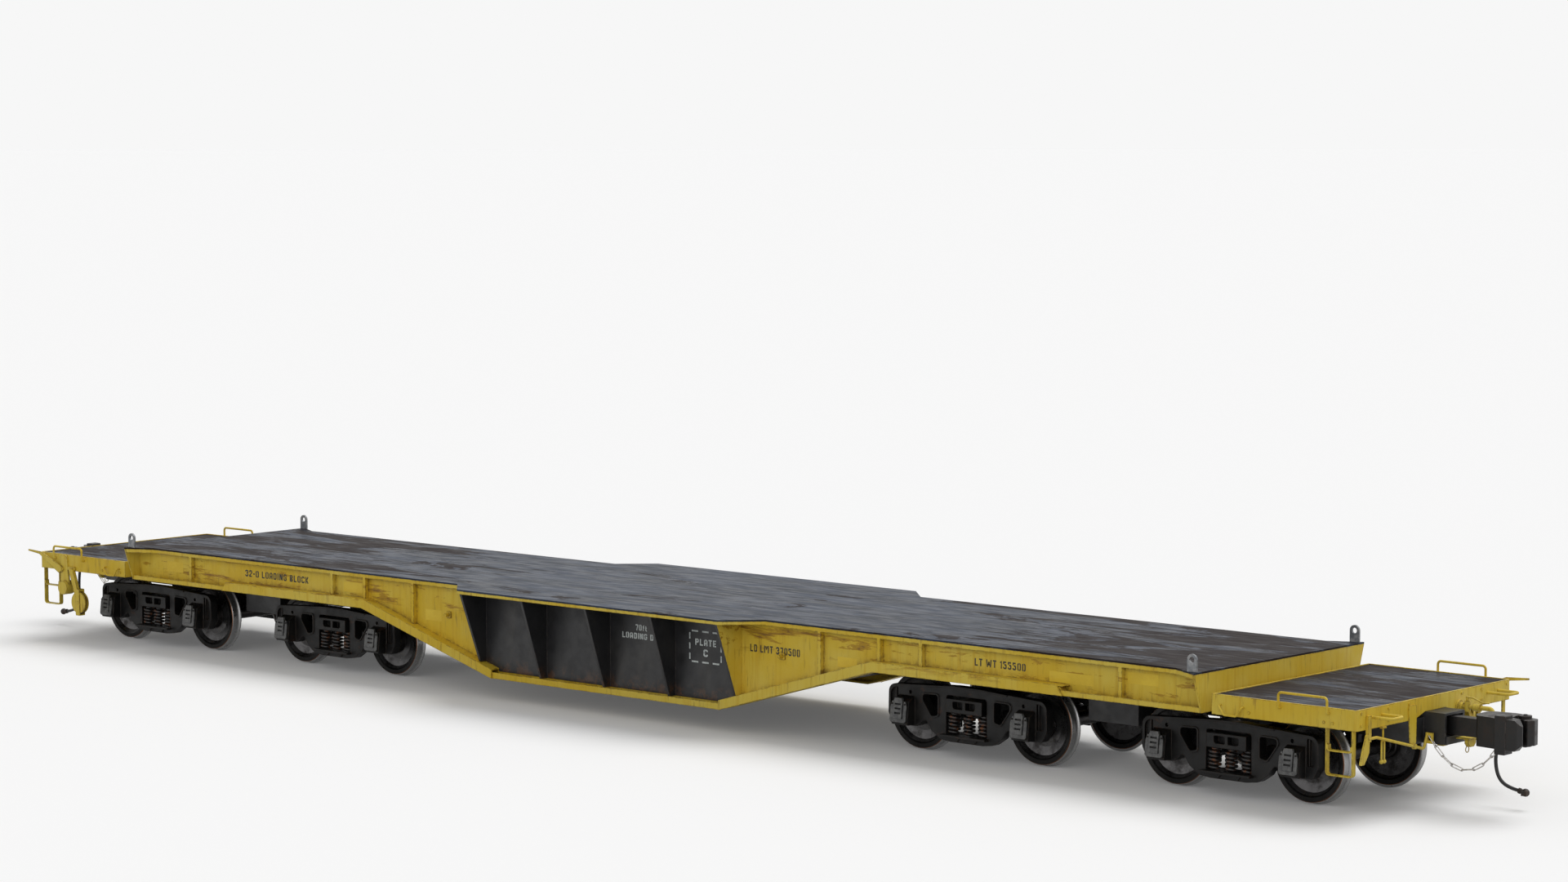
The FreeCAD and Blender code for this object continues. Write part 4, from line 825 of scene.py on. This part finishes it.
# strokes of a block stencil face, ten units high; the first number is the letter's width
strokes = {
    "A": (6.0, [[(0.9, 0), (0.9, 7.6), (2.2, 9.1), (2.7, 9.1)],
                [(5.1, 0), (5.1, 7.6), (3.8, 9.1), (3.3, 9.1)],
                [(2.1, 3.6), (3.9, 3.6)]]),
    "B": (6.0, [[(0.9, 0), (0.9, 10)],
                [(2.2, 9.1), (4.2, 9.1), (5.0, 8.3), (5.0, 6.4), (4.2, 5.6), (2.2, 5.6)],
                [(2.2, 3.4), (4.2, 3.4)], [(5.1, 4.0), (5.1, 1.8), (4.2, 0.9), (2.2, 0.9)]]),
    "C": (6.0, [[(5.1, 6.9), (5.1, 8.2), (4.2, 9.1), (1.8, 9.1), (0.9, 8.2), (0.9, 5.4)],
                [(0.9, 4.7), (0.9, 1.8), (1.8, 0.9), (4.2, 0.9), (5.1, 1.8), (5.1, 3.1)]]),
    "D": (6.0, [[(0.9, 0), (0.9, 10)],
                [(2.2, 9.1), (4.2, 9.1), (5.1, 8.2), (5.1, 1.8), (4.2, 0.9), (2.2, 0.9)]]),
    "E": (5.4, [[(0.9, 0), (0.9, 10)], [(2.2, 9.1), (5.3, 9.1)], [(2.2, 5), (4.8, 5)],
                [(2.2, 0.9), (5.3, 0.9)]]),
    "G": (6.0, [[(5.1, 6.9), (5.1, 8.2), (4.2, 9.1), (1.8, 9.1), (0.9, 8.2), (0.9, 5.4)],
                [(0.9, 4.7), (0.9, 1.8), (1.8, 0.9), (4.2, 0.9), (5.1, 1.8), (5.1, 4.6), (3.2, 4.6)]]),
    "I": (1.8, [[(0.9, 0), (0.9, 10)]]),
    "K": (6.0, [[(0.9, 0), (0.9, 10)], [(2.5, 5.6), (5.0, 10)], [(2.5, 4.6), (5.1, 0)]]),
    "L": (5.4, [[(0.9, 10), (0.9, 0.9), (5.4, 0.9)]]),
    "M": (9.2, [[(1, 0), (1, 10)], [(8.2, 0), (8.2, 10)], [(3.2, 9.2), (4.6, 4.8), (6.0, 9.2)]]),
    "N": (6.5, [[(0.9, 0), (0.9, 10)], [(5.6, 0), (5.6, 10)], [(2.5, 9.0), (4.0, 1.0)]]),
    "O": (6.0, [[(2.6, 0.9), (1.8, 0.9), (0.9, 1.8), (0.9, 8.2), (1.8, 9.1), (2.6, 9.1)],
                [(3.4, 9.1), (4.2, 9.1), (5.1, 8.2), (5.1, 1.8), (4.2, 0.9), (3.4, 0.9)]]),
    "P": (6.0, [[(0.9, 0), (0.9, 10)],
                [(2.2, 9.1), (4.2, 9.1), (5.1, 8.2), (5.1, 5.7), (4.2, 4.8), (2.2, 4.8)]]),
    "T": (5.8, [[(0, 9.1), (5.8, 9.1)], [(2.9, 7.8), (2.9, 0)]]),
    "W": (9.6, [[(0.8, 10), (2.4, 0)], [(4.8, 7.2), (3.9, 2.2)], [(5.0, 7.2), (5.7, 2.2)],
                [(8.8, 10), (7.2, 0)]]),
    "1": (3.3, [[(0.4, 7.7), (2.4, 9.5), (2.4, 0)]]),
    "2": (6.0, [[(0.9, 7.0), (0.9, 8.2), (1.8, 9.1), (4.2, 9.1), (5.1, 8.2), (5.1, 6.3), (3.5, 4.7)],
                [(3.0, 4.2), (0.9, 2.1), (0.9, 0.9), (5.4, 0.9)]]),
    "3": (6.0, [[(0.9, 7.2), (0.9, 8.2), (1.8, 9.1), (4.2, 9.1), (5.1, 8.2), (5.1, 6.1), (4.2, 5.2),
                 (2.4, 5.2)],
                [(5.1, 4.0), (5.1, 1.8), (4.2, 0.9), (1.8, 0.9), (0.9, 1.8), (0.9, 2.8)]]),
    "5": (6.0, [[(5.3, 9.1), (0.9, 9.1), (0.9, 6.3)],
                [(2.2, 5.6), (4.2, 5.6), (5.1, 4.7), (5.1, 1.8), (4.2, 0.9), (1.8, 0.9), (0.9, 1.8),
                 (0.9, 2.8)]]),
    "7": (5.8, [[(0.2, 9.1), (4.9, 9.1), (4.9, 7.6), (2.6, 0)]]),
    "-": (3.4, [[(0, 4.8), (3.4, 4.8)]]),
    "f": (3.8, [[(1.4, 0), (1.4, 7.4), (2.4, 8.4), (3.6, 8.4)], [(2.6, 5.2), (3.8, 5.2)]]),
    "t": (3.6, [[(1.4, 8.6), (1.4, 1.8), (2.3, 0.9), (3.6, 0.9)], [(2.6, 5.6), (3.6, 5.6)]])}
strokes["0"] = strokes["O"]

# words, left end, lower edge, width, height and tone of the near side's marks
signs = [("32-0 LOADING BLOCK", -6.82, 1.20, 1.27, 0.088, "black"),
         ("LD LMT 370500", 2.34, 1.035, 0.79, 0.088, "black"),
         ("LT WT 155500", 5.785, 1.19, 0.735, 0.086, "black"),
         ("70ft", 0.451, 1.12, 0.19, 0.072, "white"), ("LOADING DECK", 0.227, 1.014, 0.72, 0.072, "white"),
         ("PLATE", 1.452, 1.03, 0.34, 0.078, "white"), ("C", 1.586, 0.90, 0.070, 0.085, "white")]

plateSquare = {"left": 1.36, "right": 1.875, "low": 0.826, "high": 1.20, "line": 0.020, "dashes": 3,
               "share": 0.62}

# cleaner squares where old marks were painted over: left end, lower edge, width and height
repaints = [(6.86, 1.115, 0.62, 0.12), (7.95, 1.20, 0.42, 0.13), (-8.45, 1.14, 0.34, 0.14),
            (-4.86, 1.16, 0.36, 0.13), (3.72, 0.98, 0.30, 0.12), (-3.3, 0.92, 0.30, 0.14)]


def ribbon(points, half):
    # outline of a stroke of even width with square ends and mitred corners
    ways = []
    for a, b in zip(points, points[1:]):
        length = math.dist(a, b)
        ways.append(((b[0] - a[0]) / length, (b[1] - a[1]) / length))
    left, right = [], []
    for i, (x, y) in enumerate(points):
        before, after = ways[max(i - 1, 0)], ways[min(i, len(ways) - 1)]
        across = (-before[1] - after[1], before[0] + after[0])
        reach = math.hypot(*across)
        scale = min(half * 2 / reach ** 2, half * lettering["mitre"] / reach)
        left.append((x + across[0] * scale, y + across[1] * scale))
        right.append((x - across[0] * scale, y - across[1] * scale))
    return left + right[::-1]


def signOutlines(words, x, z, width, height):
    pen, outlines = 0.0, []
    for mark in words:
        if mark == " ":
            pen += lettering["space"]
            continue
        wide, lines = strokes[mark]
        outlines += [[(pen + a, b) for a, b in ribbon(line, lettering["stroke"] / 2)] for line in lines]
        pen += wide + lettering["gap"]
    scaleX, scaleZ = width / (pen - lettering["gap"]), height / 10
    return [[(x + a * scaleX, z + b * scaleZ) for a, b in outline] for outline in outlines]


def squareOutlines():
    s, outlines = plateSquare, []
    for start, end, fixed, level in (("left", "right", "low", True), ("left", "right", "high", True),
                                     ("low", "high", "left", False), ("low", "high", "right", False)):
        pitch = (s[end] - s[start]) / s["dashes"]
        for i in range(s["dashes"]):
            a = s[start] + pitch * (i + (1 - s["share"]) / 2)
            b = a + pitch * s["share"]
            ends = [(a, s[fixed]), (b, s[fixed])] if level else [(s[fixed], a), (s[fixed], b)]
            outlines.append(ribbon(ends, s["line"] / 2))
    return outlines


def flatSigns(name, outlines, y, material):
    # flat marks on the near side, and the same marks turned half round on the far side
    def build(bm):
        for sign in (1, -1):
            for outline in outlines:
                bm.faces.new([bm.verts.new(turned((x, -y, z), sign)) for x, z in outline])
    mesh = builtMesh(name, build, False)
    for polygon in mesh.polygons:
        if polygon.normal.y * polygon.center.y < 0:
            polygon.flip()
    meshPiece(name, mesh, "carbody", material)


def makeLetters():
    web, skin = lettering["web"] + lettering["lift"], lettering["skin"] + lettering["lift"]
    for i, (words, x, z, width, height, tone) in enumerate(signs):
        outlines = signOutlines(words, x, z, width, height)
        if tone == "black":
            flatSigns(f"lettering_{i + 1}", outlines, web, letterBlack)
        else:
            flatSigns(f"lettering_{i + 1}", outlines, skin, letterWhite)
    flatSigns("plateSquare", squareOutlines(), skin, letterWhite)
    squares = [[(x, z), (x + w, z), (x + w, z + h), (x, z + h)] for x, z, w, h in repaints]
    flatSigns("repaintedSquares", squares, lettering["web"] + lettering["patchLift"], freshYellow)


makeLetters()
print("lettering made")


markShape = {"reach": 0.7575, "half": 0.007,
             "line": [(0.262, 0.115), (0.245, 0.150), (0.270, 0.165), (0.240, 0.195)]}


def makeWheelMark():
    # a short green chalk line on one wheel
    low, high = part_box("wheelset_4")
    centre, axle = (low[0] + high[0]) / 2, (low[2] + high[2]) / 2

    def build(bm):
        bm.faces.new([bm.verts.new((centre + a, -markShape["reach"], axle + b))
                      for a, b in ribbon(markShape["line"], markShape["half"])])
    mesh = builtMesh("chalkMark", build, False)
    for polygon in mesh.polygons:
        if polygon.normal.y > 0:
            polygon.flip()
    meshPiece("chalkMark", mesh, "axle_4", greenMark)


makeWheelMark()
print("mark made")


stage = {"background": 0.93, "floorSize": 1200, "floorSeen": 0.875, "floorGlow": 0.09, "floorBounce": 0.45,
         "world": 0.40, "sun": 1.75, "sunFrom": (0.2, 0.5, 1.0), "sunAngle": 50,
         "fill": 0.62, "fillFrom": (0.5, -1.0, 0.45), "fillAngle": 60}


def seenRays(tree):
    # 1 for rays from the camera and for reflections, 0 for light that falls on the car
    rays, either = tree.nodes.new("ShaderNodeLightPath"), tree.nodes.new("ShaderNodeMath")
    either.operation = "MAXIMUM"
    tree.links.new(rays.outputs["Is Camera Ray"], either.inputs[0])
    tree.links.new(rays.outputs["Is Glossy Ray"], either.inputs[1])
    return either.outputs["Value"]


def addBackground(tree, grey, strength):
    node = tree.nodes.new("ShaderNodeBackground")
    node.inputs["Color"].default_value = (grey, grey, grey, 1)
    node.inputs["Strength"].default_value = strength
    return node.outputs["Background"]


def addDiffuse(tree, grey):
    node = tree.nodes.new("ShaderNodeBsdfDiffuse")
    node.inputs["Color"].default_value = (grey, grey, grey, 1)
    return node.outputs["BSDF"]


def makeFloor():
    # the camera sees a paler floor than the one that lights the object from below
    bpy.ops.mesh.primitive_plane_add(size=stage["floorSize"], location=(0, 0, 0))
    floor = bpy.context.object
    floor.name = "floor"
    pale = bpy.data.materials.new("paleFloor")
    pale.use_nodes = True
    tree = pale.node_tree
    tree.nodes.clear()
    glow, seen = tree.nodes.new("ShaderNodeEmission"), tree.nodes.new("ShaderNodeAddShader")
    pick, result = tree.nodes.new("ShaderNodeMixShader"), tree.nodes.new("ShaderNodeOutputMaterial")
    glow.inputs["Strength"].default_value = stage["floorGlow"]
    tree.links.new(addDiffuse(tree, stage["floorSeen"]), seen.inputs[0])
    tree.links.new(glow.outputs["Emission"], seen.inputs[1])
    tree.links.new(seenRays(tree), pick.inputs["Fac"])
    tree.links.new(addDiffuse(tree, stage["floorBounce"]), pick.inputs[1])
    tree.links.new(seen.outputs["Shader"], pick.inputs[2])
    tree.links.new(pick.outputs["Shader"], result.inputs["Surface"])
    floor.data.materials.append(pale)


def makeWorld():
    world = bpy.data.worlds.new("studio")
    bpy.context.scene.world = world
    world.use_nodes = True
    tree = world.node_tree
    tree.nodes.clear()
    pick, result = tree.nodes.new("ShaderNodeMixShader"), tree.nodes.new("ShaderNodeOutputWorld")
    tree.links.new(seenRays(tree), pick.inputs["Fac"])
    tree.links.new(addBackground(tree, 1.0, stage["world"]), pick.inputs[1])
    tree.links.new(addBackground(tree, stage["background"], 1.0), pick.inputs[2])
    tree.links.new(pick.outputs["Shader"], result.inputs["Surface"])


def addSun(name, place, angle, strength):
    lamp = bpy.data.lights.new(name, "SUN")
    lamp.angle = math.radians(angle)
    lamp.energy = strength
    holder = bpy.data.objects.new(name, lamp)
    holder.rotation_euler = (-Vector(place)).to_track_quat("-Z", "Y").to_euler()
    bpy.context.scene.collection.objects.link(holder)


def makeLamps():
    addSun("keyLamp", stage["sunFrom"], stage["sunAngle"], stage["sun"])
    addSun("fillLamp", stage["fillFrom"], stage["fillAngle"], stage["fill"])


view = {"lens": 92.42, "sensor": 36.0, "far": 500, "place": (34.353, -36.759, 7.752),
        "yaw": 41.655, "pitch": -5.027, "roll": -0.046}


def makeCamera():
    camera = bpy.data.cameras.new("camera")
    camera.lens = view["lens"]
    camera.sensor_width = view["sensor"]
    camera.clip_end = view["far"]
    holder = bpy.data.objects.new("camera", camera)
    yaw, pitch, roll = (math.radians(view[key]) for key in ("yaw", "pitch", "roll"))
    turn = Matrix.Rotation(yaw, 4, "Z") @ Matrix.Rotation(math.pi / 2 + pitch, 4, "X")
    turn = turn @ Matrix.Rotation(roll, 4, "Z")
    holder.matrix_world = Matrix.Translation(view["place"]) @ turn
    bpy.context.scene.collection.objects.link(holder)
    bpy.context.scene.camera = holder


makeFloor()
makeWorld()
makeLamps()
makeCamera()
bpy.context.scene.view_settings.view_transform = "Standard"
print("stage set")
